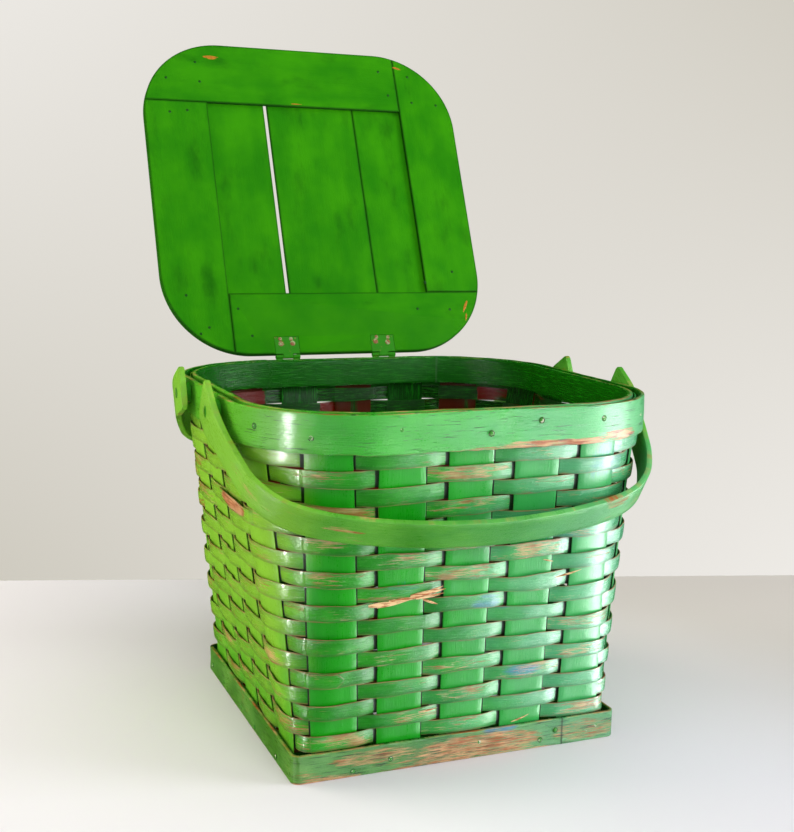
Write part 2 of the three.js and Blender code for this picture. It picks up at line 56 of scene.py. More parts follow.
SPLINT = 1.2
STAKE_WIDTH, STAKE_TOP, STAKE_LEAN = 32, 248.5, -11
STAKES_PER_SIDE = 5
BASE_PITCH_X, BASE_PITCH_Y, RIM_PITCH = 46, 44, 48
WALL_BOTTOM, WALL_TOP = 20.2, 225.2
WALL_BASE_RADIUS, WALL_RADIUS_POWER = 10, 0.8
WEAVER_ROWS, WEAVER_SLIT = 18, 0.41
WEAVE_OFFSET = SPLINT + GAP
RIM_INSET = RIM_BAND + GAP + WEAVE_OFFSET + SPLINT / 2
BASE_INSET = BASE_BAND + SPLINT / 2 + 0.5
ROW_PITCH = (WALL_TOP - WALL_BOTTOM + WEAVER_SLIT) / WEAVER_ROWS

LID_WIDTH, LID_DEPTH, LID_RADIUS, LID_BOARD = 289.3, 288.5, 72, 3
LID_LEFT_STILE, LID_RIGHT_STILE, LID_HINGE_RAIL, LID_FRONT_RAIL = 56, 52.5, 54.4, 56.6
PANEL_SLIT_X, PANEL_SLIT, PANEL_SEAM_X = -35.8, 3.2, 46.2
HINGE_LINE = (-1.65, 150.6, 252.3)
LID_OPEN_DEG, LID_SETBACK, LID_INSIDE = 114.45, 2.3, -1.7
HINGE_SPACING = 86.5
LEAF_WIDTH, LEAF_LENGTH, LEAF_PLATE, LEAF_CLEAR, LEAF_SINK = 21, 15, 0.8, 2.2, 0.1

HANDLE_OUTER_X, HANDLE_REACH, HANDLE_THICKNESS = 162, 130.5, 4.2
HANDLE_HALF_WIDTH, HANDLE_END_HALF_WIDTH, HANDLE_END_REACH, HANDLE_TAPER = 11, 16, 15, 36
PIVOT_Y, PIVOT_Z, FRONT_HANDLE_DEG, REAR_HANDLE_DEG = 45, 240, 32.5, 26
RIVET_HEAD, RIVET_HEAD_DEPTH = 3.6, 1.6

# ---- camera ----

CAMERA_PLACE = (-353.38, -859.39, 371.71)
CAMERA_TARGET = (-5.72, 0, 223.34)
CAMERA_LENS, CAMERA_SENSOR = 54.28, 36
CAMERA_ROLL_DEG = 1.07


def add_camera():
    """The camera of the photo, fitted to the basket's outlines."""
    data = bpy.data.cameras.new("camera")
    data.lens = CAMERA_LENS
    data.sensor_width = CAMERA_SENSOR
    camera = link("camera", data)
    place = Vector(CAMERA_PLACE) * MM
    direction = Vector(CAMERA_TARGET) * MM - place
    roll = Quaternion((0, 0, 1), math.radians(CAMERA_ROLL_DEG))
    camera.rotation_mode = "QUATERNION"
    camera.rotation_quaternion = direction.to_track_quat("-Z", "Y") @ roll
    camera.location = place
    bpy.context.scene.camera = camera


# ---- small helpers ----

SHARP_DEG = 35  # faces that meet at more than this angle keep a sharp edge
EDGE_FADE = 1.4  # how far from an edge the wear of edges and the painted edge shade reach
SEED_SHIFT = 37.0  # keeps the grain of two pieces from being the same


def smoothstep(low, high, x):
    """0 at low, 1 at high, smooth between."""
    t = np.clip((x - low) / (high - low), 0, 1)
    return t * t * (3 - 2 * t)


def length(v):
    """Lengths of vectors."""
    return np.linalg.norm(v, axis=-1)


def unit(v):
    """Vectors with their length made 1."""
    return v / np.maximum(length(v)[..., None], 1e-9)


def link(name, data):
    """A new object in the scene."""
    made = bpy.data.objects.new(name, data)
    bpy.context.scene.collection.objects.link(made)
    return made


def distance_along(points):
    """The distance from the first point to each point of a line."""
    return np.concatenate([[0], np.cumsum(length(np.diff(points, axis=0)))])


def tube_faces(rings, size, closed=False):
    """Faces of a tube made of rings of points. It's capped at both ends unless it's closed."""
    faces = []
    for i in range(rings if closed else rings - 1):
        a, b = i * size, (i + 1) % rings * size
        for j in range(size):
            k = (j + 1) % size
            faces.append((a + j, a + k, b + k, b + j))
    if not closed:
        last = (rings - 1) * size
        faces += [tuple(range(size))[::-1], tuple(range(last, last + size))]
    return faces


class Waves:
    """Smooth seeded noise of one variable, about -1 to 1, with the given wavelengths."""

    COUNT = 6

    def __init__(self, seed, shortest, longest):
        draw = random.Random(seed)
        self.waves = [
            (2 * math.pi / draw.uniform(shortest, longest), draw.uniform(0, 2 * math.pi))
            for _ in range(self.COUNT)
        ]

    def __call__(self, x):
        total = sum(np.sin(rate * x + start) for rate, start in self.waves)
        return total / math.sqrt(self.COUNT * 0.5) / 1.6


def srgb(red, green, blue):
    """Linear colour from 0-255 screen values."""
    channels = [c / 255 for c in (red, green, blue)]
    linear = [c / 12.92 if c <= 0.04045 else ((c + 0.055) / 1.055) ** 2.4 for c in channels]
    return (*linear, 1)


class Shape:
    """Vertices in millimetres, faces, and numbers carried by each vertex."""

    NUMBERS = ("edge", "inside", "brick", "crest", "crease", "bare", "blue")

    def __init__(self):
        self.vertices = []
        self.faces = []
        self.grain = []
        self.numbers = {name: [] for name in self.NUMBERS}
        self.count = 0

    def add(self, vertices, faces, grain=None, **numbers):
        vertices = np.asarray(vertices, float).reshape(-1, 3)
        self.vertices.append(vertices)
        self.faces.extend([tuple(int(i) + self.count for i in face) for face in faces])
        self.grain.append(vertices.copy() if grain is None else np.asarray(grain, float).reshape(-1, 3))
        for name in self.NUMBERS:
            value = numbers.get(name, 0.0)
            self.numbers[name].append(np.broadcast_to(np.asarray(value, float), (len(vertices),)))
        self.count += len(vertices)

    def piece(self, name, material, slot, body="basket", replaces=(), matrix=None):
        mesh = bpy.data.meshes.new(name)
        mesh.from_pydata((np.concatenate(self.vertices) * MM).tolist(), [], self.faces)
        carried = mesh.attributes.new("grain", "FLOAT_VECTOR", "POINT")
        carried.data.foreach_set("vector", np.concatenate(self.grain).astype(np.float32).ravel())
        for number in self.NUMBERS:
            attribute = mesh.attributes.new(number, "FLOAT", "POINT")
            attribute.data.foreach_set("value", np.concatenate(self.numbers[number]).astype(np.float32))
        if matrix is not None:
            mesh.transform(matrix)
        mesh.materials.append(material)
        obj = link(name, mesh)
        mesh.shade_smooth()
        mesh.set_sharp_from_angle(angle=math.radians(SHARP_DEG))
        mesh.validate()
        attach(obj, body)
        if replaces:
            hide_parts(*replaces)
        return obj


def add_sheet(shape, middle, normal, half_thickness, radius, closed=False, seed=0, blue=0.0, **marks_along):
    """A strip of even thickness with rounded long edges, round a grid of points [along, across].

    The grid's outer columns lie one radius inside the strip's edges. "inside" marks the face that
    looks along minus the normal. Each of marks_along is one number for every row of the grid."""
    rows, columns = middle.shape[:2]
    half = np.broadcast_to(np.asarray(half_thickness, float), (rows,))[:, None]
    width = length(middle[:, -1] - middle[:, 0]).mean() + 2 * radius
    places = np.linspace(radius, width - radius, columns)
    near = np.exp(-np.minimum(places, width - places) / EDGE_FADE)
    ring, marks = [], []

    def put_face(order, sign):
        for k in order:
            ring.append(middle[:, k] + sign * normal[:, k] * half)
            marks.append((near[k], 0.5 - 0.5 * sign, places[k]))

    def put_edge(column, inner, first_sign, across):
        outward = unit(middle[:, column] - middle[:, inner])
        slant = math.sqrt(0.5)
        for turn, step, rise in ((1, slant, slant), (1, 1.0, 0), (-1, 1.0, 0), (-1, slant, slant)):
            sign = turn * first_sign
            depth = half - radius + radius * rise
            ring.append(middle[:, column] + outward * radius * step + sign * normal[:, column] * depth)
            marks.append((1, 0.5 - 0.5 * sign, across))

    put_face(range(columns), 1)
    put_edge(-1, -2, 1, width)
    put_face(reversed(range(columns)), -1)
    put_edge(0, 1, -1, 0)
    size = len(ring)
    edge, inside, across = np.array(marks).T
    grain = np.zeros((rows, size, 3))
    grain[:, :, 0] = distance_along(middle[:, columns // 2])[:, None]
    grain[:, :, 1] = across[None]
    grain[:, :, 2] = seed * SEED_SHIFT
    points = np.stack(ring, 1).reshape(-1, 3)
    shape.add(
        points,
        tube_faces(rows, size, closed),
        grain,
        edge=np.tile(edge, rows),
        inside=np.tile(inside, rows),
        bare=soft_spots(points, BARE_SPOTS),
        blue=np.maximum(soft_spots(points, BLUE_SPOTS), blue),
        **{name: np.repeat(values, size) for name, values in marks_along.items()},
    )


def soft_spots(points, spots):
    """How strongly each point lies in one of the listed spots, from 0 to 1."""
    total = np.zeros(len(points))
    for centre, size, strength in spots:
        distance = length((points - np.array(centre)) / np.array(size))
        total = np.maximum(total, smoothstep(1.35, 0.75, distance) * strength)
    return total


# Where paint has come off down to the wood: centre, half sizes, strength.
BARE_SPOTS = [
    ((-146.5, -45.5, 174), (4, 44, 9), 1.2),
    ((-64, -134.4, 122.5), (13, 6, 3), 0.7),
    ((-34, -134.6, 126.5), (13, 6, 3.5), 0.7),
    ((-60, -136, 141), (16, 6, 3), 0.42),
    ((-107, -128, 73), (15, 7, 4.5), 0.45),
    ((-92, -129, 90), (9, 6, 3), 0.4),
    ((45, -131, 113), (16, 6, 2.6), 0.45),
    ((5, -127, 71), (15, 6, 3.5), 0.42),
    ((92, -127.5, 70), (17, 6, 4), 0.55),
    ((97, -129, 93), (13, 6, 3), 0.5),
    ((96, -133, 124), (20, 6, 3), 0.4),
    ((63, -129.4, 82), (14, 6, 2.6), 0.42),
    ((92, -138, 190), (14, 6, 3), 0.4),
    ((-141.7, -8.2, 161), (8, 12, 3.5), 0.45),
    ((-133.6, 46.8, 95), (8, 12, 3.5), 0.42),
    ((-131.9, -20.3, 80.6), (8, 14, 3.5), 0.42),
    ((-126.9, 69, 39.4), (8, 12, 3.5), 0.45),
    ((-129.6, -19.8, 61.6), (8, 12, 3.5), 0.42),
    ((-64, -117, 12), (36, 4, 6), 0.52),
    ((12, -117, 9), (56, 4, 10), 0.56),
    ((-24, -117, 5), (30, 4, 5), 0.48),
    ((98, -117, 9), (30, 4, 9), 0.5),
    ((-100, -117, 1), (30, 6, 2.5), 0.6),
    ((10, -117, 0.5), (70, 6, 2), 0.55),
    ((50, -149, 226.5), (46, 5, 4), 0.6),
    ((0, -149, 225.5), (34, 5, 2.6), 0.55),
    ((106, -143, 228.5), (28, 12, 4.5), 0.6),
]

# Where a blue undercoat shows through.
BLUE_SPOTS = [
    ((40, -126, 61), (34, 6, 7), 0.6),
    ((14, -132, 114), (18, 6, 9), 0.5),
    ((-56, -130, 90), (12, 6, 5), 0.4),
    ((-52, -134, 133), (14, 6, 6), 0.35),
    ((96, -138, 210), (24, 9, 16), 0.4),
    ((60, -134, 160), (34, 8, 9), 0.35),
    ((30, -117, 18), (14, 4, 3), 0.5),
]

# ---- the wall's shape ----

# The four sides in order round the basket: outward direction, direction along it,
# and whether it lies along X.
SIDES = [
    (np.array([0.0, -1, 0]), np.array([1.0, 0, 0]), True),
    (np.array([1.0, 0, 0]), np.array([0.0, 1, 0]), False),
    (np.array([0.0, 1, 0]), np.array([-1.0, 0, 0]), True),
    (np.array([-1.0, 0, 0]), np.array([0.0, -1, 0]), False),
]

FRONT_SIDE, LEFT_SIDE = 0, 3


def wall_share(z):
    """0 at the wall's foot, 1 at its top."""
    return np.clip((z - WALL_BOTTOM) / (WALL_TOP - WALL_BOTTOM), 0, 1)


def wall_size(side, z):
    """Reach, half the straight part, and corner radius of one side at height z."""
    t = wall_share(z)
    inset = RIM_INSET - BASE_INSET
    half_x = BASE_WIDTH / 2 - BASE_INSET + (RIM_WIDTH - BASE_WIDTH - 2 * inset) / 2 * t
    half_y = BASE_DEPTH / 2 - BASE_INSET + (RIM_DEPTH - BASE_DEPTH - 2 * inset) / 2 * t
    radius = WALL_BASE_RADIUS + (RIM_RADIUS - RIM_INSET - WALL_BASE_RADIUS) * t**WALL_RADIUS_POWER
    reach, across = (half_y, half_x) if SIDES[side][2] else (half_x, half_y)
    return reach, across - radius, radius


def wall(side, u, z):
    """Points and level outward directions of the wall, u millimetres along a side from its middle."""
    out, along, _ = SIDES[side]
    u, z = np.broadcast_arrays(np.asarray(u, float), np.asarray(z, float))
    reach, straight, radius = wall_size(side, z)
    turn = np.sign(u) * np.maximum(np.abs(u) - straight, 0) / radius
    flat = np.clip(u, -straight, straight)
    depth = reach - radius + radius * np.cos(turn)
    sideways = flat + radius * np.sin(turn)
    point = depth[..., None] * out + sideways[..., None] * along
    point[..., 2] = z
    normal = np.cos(turn)[..., None] * out + np.sin(turn)[..., None] * along
    return point, normal


def stake_centre(side, number, z):
    """How far along a side the middle of a stake is at height z. Stake 0 is the middle one."""
    t = wall_share(z)
    pitch = BASE_PITCH_X if SIDES[side][2] else BASE_PITCH_Y
    return number * (pitch + (RIM_PITCH - pitch) * t) + STAKE_LEAN * t


# ---- weavers ----

OUTERMOST = (STAKES_PER_SIDE - 1) // 2
CREST = 0.85  # how far a weaver bulges over a stake
CREASE_REACH = 6  # how far before a stake the painted crease shade starts
SPAN_BETWEEN, SPAN_CORNER = 15, 24  # usual distance between stakes on a side and round a corner
WEAVER_EDGE, WEAVER_CROWN = 0.4, 0.22  # edge radius, and how much the middle stands out
STEPS_OVER, STEPS_BETWEEN, STEPS_CORNER = 14, 7, 12
FACE_COLUMNS = np.linspace(0, 1, 5)

MEAN_REACH = 140  # usual distance of the wall from the basket's middle
row_lift = Waves(11, 60, 420)
row_ripple = Waves(12, 25, 70)


def crossing_profile(sign):
    """A weaver's offset from the wall across one stake: [share of the stake's width, offset]."""
    share = np.linspace(0, 1, STEPS_OVER, endpoint=False)
    return share, sign * (WEAVE_OFFSET + CREST * np.sin(math.pi * share))


def between_profile(sign, width, steps):
    """The offset and shade while a weaver changes from one face of the wall to the other."""
    share = np.linspace(0, 1, steps, endpoint=False)
    slope = -CREST * math.pi / STAKE_WIDTH * width
    start, end = WEAVE_OFFSET, -WEAVE_OFFSET
    cube, square = share**3, share**2
    curve = (2 * cube - 3 * square + 1) * start + (cube - 2 * square + share) * slope
    curve += (3 * square - 2 * cube) * end + (cube - square) * slope
    # Painted shade: the weaver darkens next to the stake where it passes behind one.
    left = width * (1 - share if sign > 0 else share * 1.8)
    return share, sign * curve, np.clip(1 - left / CREASE_REACH, 0, 1)


def span_after(side, number, sign, heights):
    """The way from one stake to the next: places along the wall, offset from it, and shade."""
    start = stake_centre(side, number, heights) + STAKE_WIDTH / 2
    if number < OUTERMOST:
        end = stake_centre(side, number + 1, heights) - STAKE_WIDTH / 2
        share, offset, crease = between_profile(sign, SPAN_BETWEEN, STEPS_BETWEEN)
    else:
        following = (side + 1) % 4
        _, straight, radius = wall_size(side, heights)
        end = straight + math.pi / 2 * radius + wall_size(following, heights)[1]
        end = end + stake_centre(following, -OUTERMOST, heights) - STAKE_WIDTH / 2
        share, offset, crease = between_profile(sign, SPAN_CORNER, STEPS_CORNER)
    return start + share[:, None] * (end - start), offset, crease


def weaver_rings(row, heights):
    """Grid of the weaver's middle points and normals, with one column for each of the heights."""
    draw = random.Random(500 + row)
    points, normals, bricks, crests, crease_shades = [], [], [], [], []
    for side in range(4):
        for number in range(-OUTERMOST, OUTERMOST + 1):
            order = side * STAKES_PER_SIDE + number + OUTERMOST
            sign = -1 if (order + row) % 2 == 0 else 1
            tone = draw.random()
            centre = stake_centre(side, number, heights)
            share, offset = crossing_profile(sign)
            u = centre + (share[:, None] - 0.5) * STAKE_WIDTH
            # Where the weaver runs behind a stake it takes the full painted crease shade.
            over = (u, offset, np.full(STEPS_OVER, float(sign < 0)))
            for u, offset, crease in (over, span_after(side, number, sign, heights)):
                point, normal = round_corner(side, u, heights)
                points.append(point + normal * offset[:, None, None])
                normals.append(normal)
                bricks.append(np.full(len(offset), tone))
                crests.append(np.maximum(offset, 0) / (WEAVE_OFFSET + CREST))
                crease_shades.append(crease)
    marks = {"brick": bricks, "crest": crests, "crease": crease_shades}
    marks = {name: np.concatenate(values) for name, values in marks.items()}
    return np.concatenate(points), np.concatenate(normals), marks


def round_corner(side, u, heights):
    """Points of the wall for u that may run past the corner on to the next side."""
    z = np.broadcast_to(heights, u.shape)
    point, normal = wall(side, u, z)
    following = (side + 1) % 4
    _, straight, radius = wall_size(side, z)
    past = u - straight - math.pi / 2 * radius
    next_point, next_normal = wall(following, past - wall_size(following, z)[1], z)
    over = (past > 0)[..., None]
    return np.where(over, next_point, point), np.where(over, next_normal, normal)


def settle(points):
    """Rows of splint don't lie dead level: they rise and fall together by about a millimetre."""
    around = np.arctan2(points[..., 1], points[..., 0]) * MEAN_REACH
    z = points[..., 2]
    free = smoothstep(WALL_BOTTOM, 60, z) * smoothstep(WALL_TOP + 4, 190, z)
    lift = row_lift(around + z * 1.7) * 0.9 + row_ripple(around - z * 3.1) * 0.3
    moved = points.copy()
    moved[..., 2] += lift * free
    return moved


def weaver_edges(row):
    """Bottom and top height of a row of weaving. Row 0 is the topmost."""
    top = WALL_TOP - row * ROW_PITCH
    return top - (ROW_PITCH - WEAVER_SLIT), top


def build_weavers(material):
    """One hoop of splint for each row, a little wavy in its width and its distance from the wall."""
    across = 2 * FACE_COLUMNS - 1
    crown = WEAVER_CROWN * (1 - across**2)
    for row in range(WEAVER_ROWS):
        bottom, top = weaver_edges(row)
        heights = bottom + WEAVER_EDGE + FACE_COLUMNS * (top - bottom - 2 * WEAVER_EDGE)
        points, normals, marks = weaver_rings(row, heights)
        line = points[:, 2]
        along = np.cumsum(length(np.roll(line, -1, 0) - line))
        wobble = Waves(900 + row, 18, 90)(along) * 0.22
        points = points + normals * (wobble[:, None] + crown[None])[..., None]
        width = Waves(700 + row, 30, 200)(along) * 0.35
        points[..., 2] += width[:, None] * across[None] * 0.5
        shape = Shape()
        add_sheet(shape, settle(points), normals, SPLINT / 2, WEAVER_EDGE, closed=True, seed=row, **marks)
        name = f"weaver_{row + 1:02d}"
        shape.piece(f"splint_{name}", material, "weave", replaces=[name])


# ---- stakes ----

STAKE_EDGE = 0.4
STAKE_COLUMNS, STAKE_LEVELS = 7, 58
FOOT_BEND = ((3.2, 0), (2.4, 0.3), (1.5, 1.3), (0.7, 3.4), (0.2, 9))  # distance inside the wall, rise


def bottom_stations(side, number, wall_reach):
    """Distance from the middle and height of a stake's line across the bottom."""
    cross_pitch = BASE_PITCH_Y if SIDES[side][2] else BASE_PITCH_X
    flat = STAKE_WIDTH / 2 + 0.5

    def level(cross):
        is_even = abs(number + cross) % 2 == 0
        return SPLINT / 2 if is_even == SIDES[side][2] else SPLINT / 2 + WEAVE_OFFSET

    stations = []
    for cross in range(3):
        if cross:
            stations.append((cross * cross_pitch - flat, level(cross)))
        stations.append((cross * cross_pitch + flat, level(cross)))
    return stations + [(wall_reach - inside, level(2) + rise) for inside, rise in FOOT_BEND]


def half_stake(side, number):
    """Middle points and normals of half a stake, [along, across], from the bottom's middle up the wall."""
    out, along, across_x = SIDES[side]
    reach, _, _ = wall_size(side, np.array(0.0))
    columns = np.linspace(-1, 1, STAKE_COLUMNS) * (STAKE_WIDTH / 2 - STAKE_EDGE)
    sideways = number * (BASE_PITCH_X if across_x else BASE_PITCH_Y)
    points, normals = [], []
    stations = bottom_stations(side, number, float(reach))
    for i, (distance, z) in enumerate(stations):
        row = out * distance + (sideways + columns)[:, None] * along
        row[:, 2] = z
        before, after = stations[max(i - 1, 0)], stations[min(i + 1, len(stations) - 1)]
        run, rise = after[0] - before[0], after[1] - before[1]
        normal = unit(out * rise - np.array([0, 0, 1.0]) * run)
        points.append(row)
        normals.append(np.broadcast_to(normal, row.shape))
    for z in np.linspace(WALL_BOTTOM, STAKE_TOP, STAKE_LEVELS):
        u = stake_centre(side, number, z) + columns
        row, normal = wall(side, u, np.full(len(columns), z))
        points.append(row)
        normals.append(normal)
    return np.stack(points), np.stack(normals)


def build_stakes(material):
    """Each stake runs from one wall's top across the bottom to the opposite wall's top."""
    for node, side, opposite in (("front_back", 0, 2), ("left_right", 1, 3)):
        for number in range(-OUTERMOST, OUTERMOST + 1):
            near, near_normal = half_stake(side, number)
            far, far_normal = half_stake(opposite, -number)
            points = np.concatenate([near[::-1], far[:, ::-1]])
            normals = np.concatenate([near_normal[::-1], far_normal[:, ::-1]])
            sway = Waves(300 + side * 10 + number, 30, 150)(np.arange(len(points)) * 3.0)
            edges = np.linspace(-1, 1, points.shape[1])
            aside = unit(points[:, -1] - points[:, 0])
            points = points + aside[:, None] * (sway[:, None] * edges * 0.3)[..., None]
            shape = Shape()
            brick = np.full(len(points), random.Random(side * 100 + number).random())
            seed = 60 + side * 10 + number
            add_sheet(shape, points, normals, SPLINT / 2, STAKE_EDGE, seed=seed, brick=brick)
            name = f"stake_{node}_{number + OUTERMOST + 1}"
            shape.piece(f"splint_{name}", material, "stakes", replaces=[name])


# ---- bands ----


def loop_line(width, depth, radius, step):
    """Points, outward directions and distance along a rounded rectangle, starting behind at the left."""
    x, y = width / 2 - radius, depth / 2 - radius
    corners = [(-x, y, 90), (-x, -y, 180), (x, -y, 270), (x, y, 0)]
    points, normals = [], []
    for i, (cx, cy, start) in enumerate(corners):
        turns = np.radians(start + np.linspace(0, 90, max(int(radius * 1.6 / step), 8)))
        normal = np.stack([np.cos(turns), np.sin(turns), np.zeros_like(turns)], -1)
        arc = np.array([cx, cy, 0]) + normal * radius
        nx, ny, _ = corners[(i + 1) % 4]
        end_normal = normal[-1]
        goal = np.array([nx, ny, 0]) + end_normal * radius
        count = max(int(np.linalg.norm(goal - arc[-1]) / step), 2)
        share = np.linspace(0, 1, count, endpoint=False)[1:, None]
        points += [arc, arc[-1] + share * (goal - arc[-1])]
        normals += [normal, np.broadcast_to(end_normal, (count - 1, 3))]
    points = np.concatenate(points)
    return points, np.concatenate(normals), distance_along(points)


BAND_EDGE, BAND_COLUMNS = 0.8, 9
LAP_REACH = 14  # how far from a lap its painted shade reaches


def add_band(shape, width, depth, radius, thickness, bottom, top, rough, seed, lap):
    """A bent board. rough says how uneven its lower and upper edges are.

    At lap, an (x, y) place, its outer end lies proud over the other end."""
    inset = thickness / 2
    points, normals, along = loop_line(width - 2 * inset, depth - 2 * inset, max(radius - inset, 1), 2.5)
    share = np.linspace(0, 1, BAND_COLUMNS)
    low = bottom + BAND_EDGE + Waves(seed, 12, 90)(along) * rough[0]
    high = top - BAND_EDGE - (1 - Waves(seed + 1, 20, 160)(along)) * rough[1] / 2
    z = low[:, None] + (high - low)[:, None] * share[None]
    grid = np.repeat(points[:, None], BAND_COLUMNS, 1)
    grid[..., 2] = z
    faces_out = np.repeat(normals[:, None], BAND_COLUMNS, 1)
    swell = Waves(seed + 2, 60, 300)(along)[:, None] * 0.25 * (1 - np.abs(2 * share - 1))[None]
    crease = np.zeros(len(along))
    if lap is not None:
        at = along[np.argmin(length(points[:, :2] - np.array(lap)))]
        past = (along - at) % along[-1]
        swell = swell + (0.35 * np.exp(-past / 30.0))[:, None]
        # Painted shade beside the lap, where one end of the band lies over the other.
        crease = np.clip(0.66 - np.abs(along - at) / LAP_REACH, 0, 1)
    grid = grid + faces_out * swell[..., None]
    add_sheet(shape, grid, faces_out, inset, BAND_EDGE, closed=True, seed=seed, crease=crease)


INNER_LAP = (87, INNER_RIM_DEPTH / 2)
BASE_LAP = (79, -BASE_DEPTH / 2)


def build_bands(rim_material, base_material):
    # name, CAD node, material, unevenness, seed, lap, size
    bands = (
        ("rim_board_outer", "rim_outer_band", rim_material, (0.35, 0.3), 21, None,
         (*RIM_OUTLINE, RIM_BAND, RIM_BOTTOM - 1.1, RIM_TOP)),
        ("rim_board_inner", "rim_inner_band", rim_material, (0.3, 0.3), 31, INNER_LAP,
         (INNER_RIM_WIDTH, INNER_RIM_DEPTH, INNER_RIM_RADIUS, RIM_BAND, INNER_RIM_BOTTOM, RIM_TOP)),
        ("base_board", "base_band", base_material, (0.0, 0.3), 41, BASE_LAP,
         (*BASE_OUTLINE, BASE_BAND, 0, BASE_HEIGHT)),
    )
    for name, node, material, rough, seed, lap, size in bands:
        shape = Shape()
        add_band(shape, *size, rough, seed, lap)
        shape.piece(name, material, "bands", replaces=[node])


# ---- cutting ----


def add_box(shape, low, high):
    """A box between two opposite corners."""
    points = [[(low, high)[i][0], (low, high)[j][1], (low, high)[k][2]]
              for k in (0, 1) for j in (0, 1) for i in (0, 1)]
    faces = [(0, 2, 3, 1), (4, 5, 7, 6), (0, 1, 5, 4), (2, 6, 7, 3), (0, 4, 6, 2), (1, 3, 7, 5)]
    shape.add(points, faces)


def carve(piece, cutter, place):
    """Takes the cutter's shape away from a piece."""
    mesh = bpy.data.meshes.new("cutter")
    mesh.from_pydata((np.concatenate(cutter.vertices) * MM).tolist(), [], cutter.faces)
    mesh.transform(place)
    tool = link("cutter", mesh)
    modifier = piece.modifiers.new("cut", "BOOLEAN")
    modifier.operation = "DIFFERENCE"
    modifier.solver = "EXACT"
    modifier.object = tool
    bpy.context.view_layer.update()
    evaluated = piece.evaluated_get(bpy.context.evaluated_depsgraph_get())
    cut = bpy.data.meshes.new_from_object(evaluated)
    piece.modifiers.clear()
    piece.data = cut
    bpy.data.objects.remove(tool)


# ---- lid ----

BOARD_BEVEL, CORNER_CLEAR = 0.5, 4.5
LID_MATRIX = Matrix.Translation(Vector(HINGE_LINE) * MM) @ Matrix.Rotation(
    math.radians(-LID_OPEN_DEG), 4, "X")


def lid_outline():
    """The lid's outline in its shut frame, level points counter-clockwise."""
    points, _, _ = loop_line(LID_WIDTH, LID_DEPTH, LID_RADIUS, 4.0)
    return points - [0, LID_SETBACK + LID_DEPTH / 2, 0]


def clip(outline, axis, limit, keep_above):
    """Cuts a convex outline of [x, y, is corner] at a line of constant x or y."""
    sign = 1 if keep_above else -1
    kept = []
    for here, following in zip(outline, np.roll(outline, -1, 0)):
        a, b = sign * (here[axis] - limit), sign * (following[axis] - limit)
        if a >= 0:
            kept.append(here)
        if a * b < 0:
            cut = here + (following - here) * (a / (a - b))
            cut[2] = 1
            kept.append(cut)
    return np.array(kept)


def clear_corners(outline):
    """Drops plain points that lie too near a sharp corner for the board's edge to be rounded over."""
    corners = outline[outline[:, 2] > 0, :2]
    kept = [point for point in outline
            if point[2] > 0 or np.all(length(corners - point[:2]) > CORNER_CLEAR)]
    return np.array(kept)[:, :2]


def add_plate(shape, outline, bottom, grain_turn, seed):
    """A flat board from a convex counter-clockwise outline, with its edges rounded over."""
    top, bevel = bottom + LID_BOARD, BOARD_BEVEL
    d1 = unit(outline - np.roll(outline, 1, 0))
    d2 = unit(np.roll(outline, -1, 0) - outline)
    n1, n2 = np.stack([d1[:, 1], -d1[:, 0]], -1), np.stack([d2[:, 1], -d2[:, 0]], -1)
    inward = -(n1 + n2) / np.maximum(1 + np.sum(n1 * n2, -1), 0.3)[:, None]
    slant = 1 - math.sqrt(0.5)
    soft = bevel + 1.3
    levels = [(bottom, soft, 0), (bottom, bevel, 0.8), (bottom + bevel * slant, bevel * slant, 1)]
    levels += [(bottom + bevel, 0, 1), (top - bevel, 0, 1), (top - bevel * slant, bevel * slant, 1)]
    levels += [(top, bevel, 0.8), (top, soft, 0)]
    rings, edge = [], []
    for z, inset, mark in levels:
        ring = outline + inward * inset
        rings.append(np.column_stack([ring, np.full(len(ring), z)]))
        edge += [mark] * len(ring)
    points = np.concatenate(rings)
    grain = points[:, [1, 0, 2]] if grain_turn else points.copy()
    grain[:, 2] = seed * SEED_SHIFT
    faces = tube_faces(len(levels), len(outline))
    shape.add(points, faces, grain, edge=edge, brick=random.Random(seed).random())


LID_LEFT = -LID_WIDTH / 2 + LID_LEFT_STILE
LID_RIGHT = LID_WIDTH / 2 - LID_RIGHT_STILE
LID_HINGE_SIDE = -LID_SETBACK - LID_HINGE_RAIL
LID_FAR_SIDE = -LID_SETBACK - LID_DEPTH + LID_FRONT_RAIL


def cut_leaf_seats(board):
    """Cuts the shallow seat for each hinge leaf into the inside face of the rail."""
    cutter = Shape()
    half = LEAF_WIDTH / 2 + GAP
    for side in (-1, 1):
        x = side * HINGE_SPACING / 2
        low = (x - half, -LEAF_CLEAR - LEAF_LENGTH - GAP, LID_INSIDE - 2)
        add_box(cutter, low, (x + half, 3, LID_INSIDE + LEAF_SINK + LEAF_PLATE + 2 * GAP))
    carve(board, cutter, LID_MATRIX)


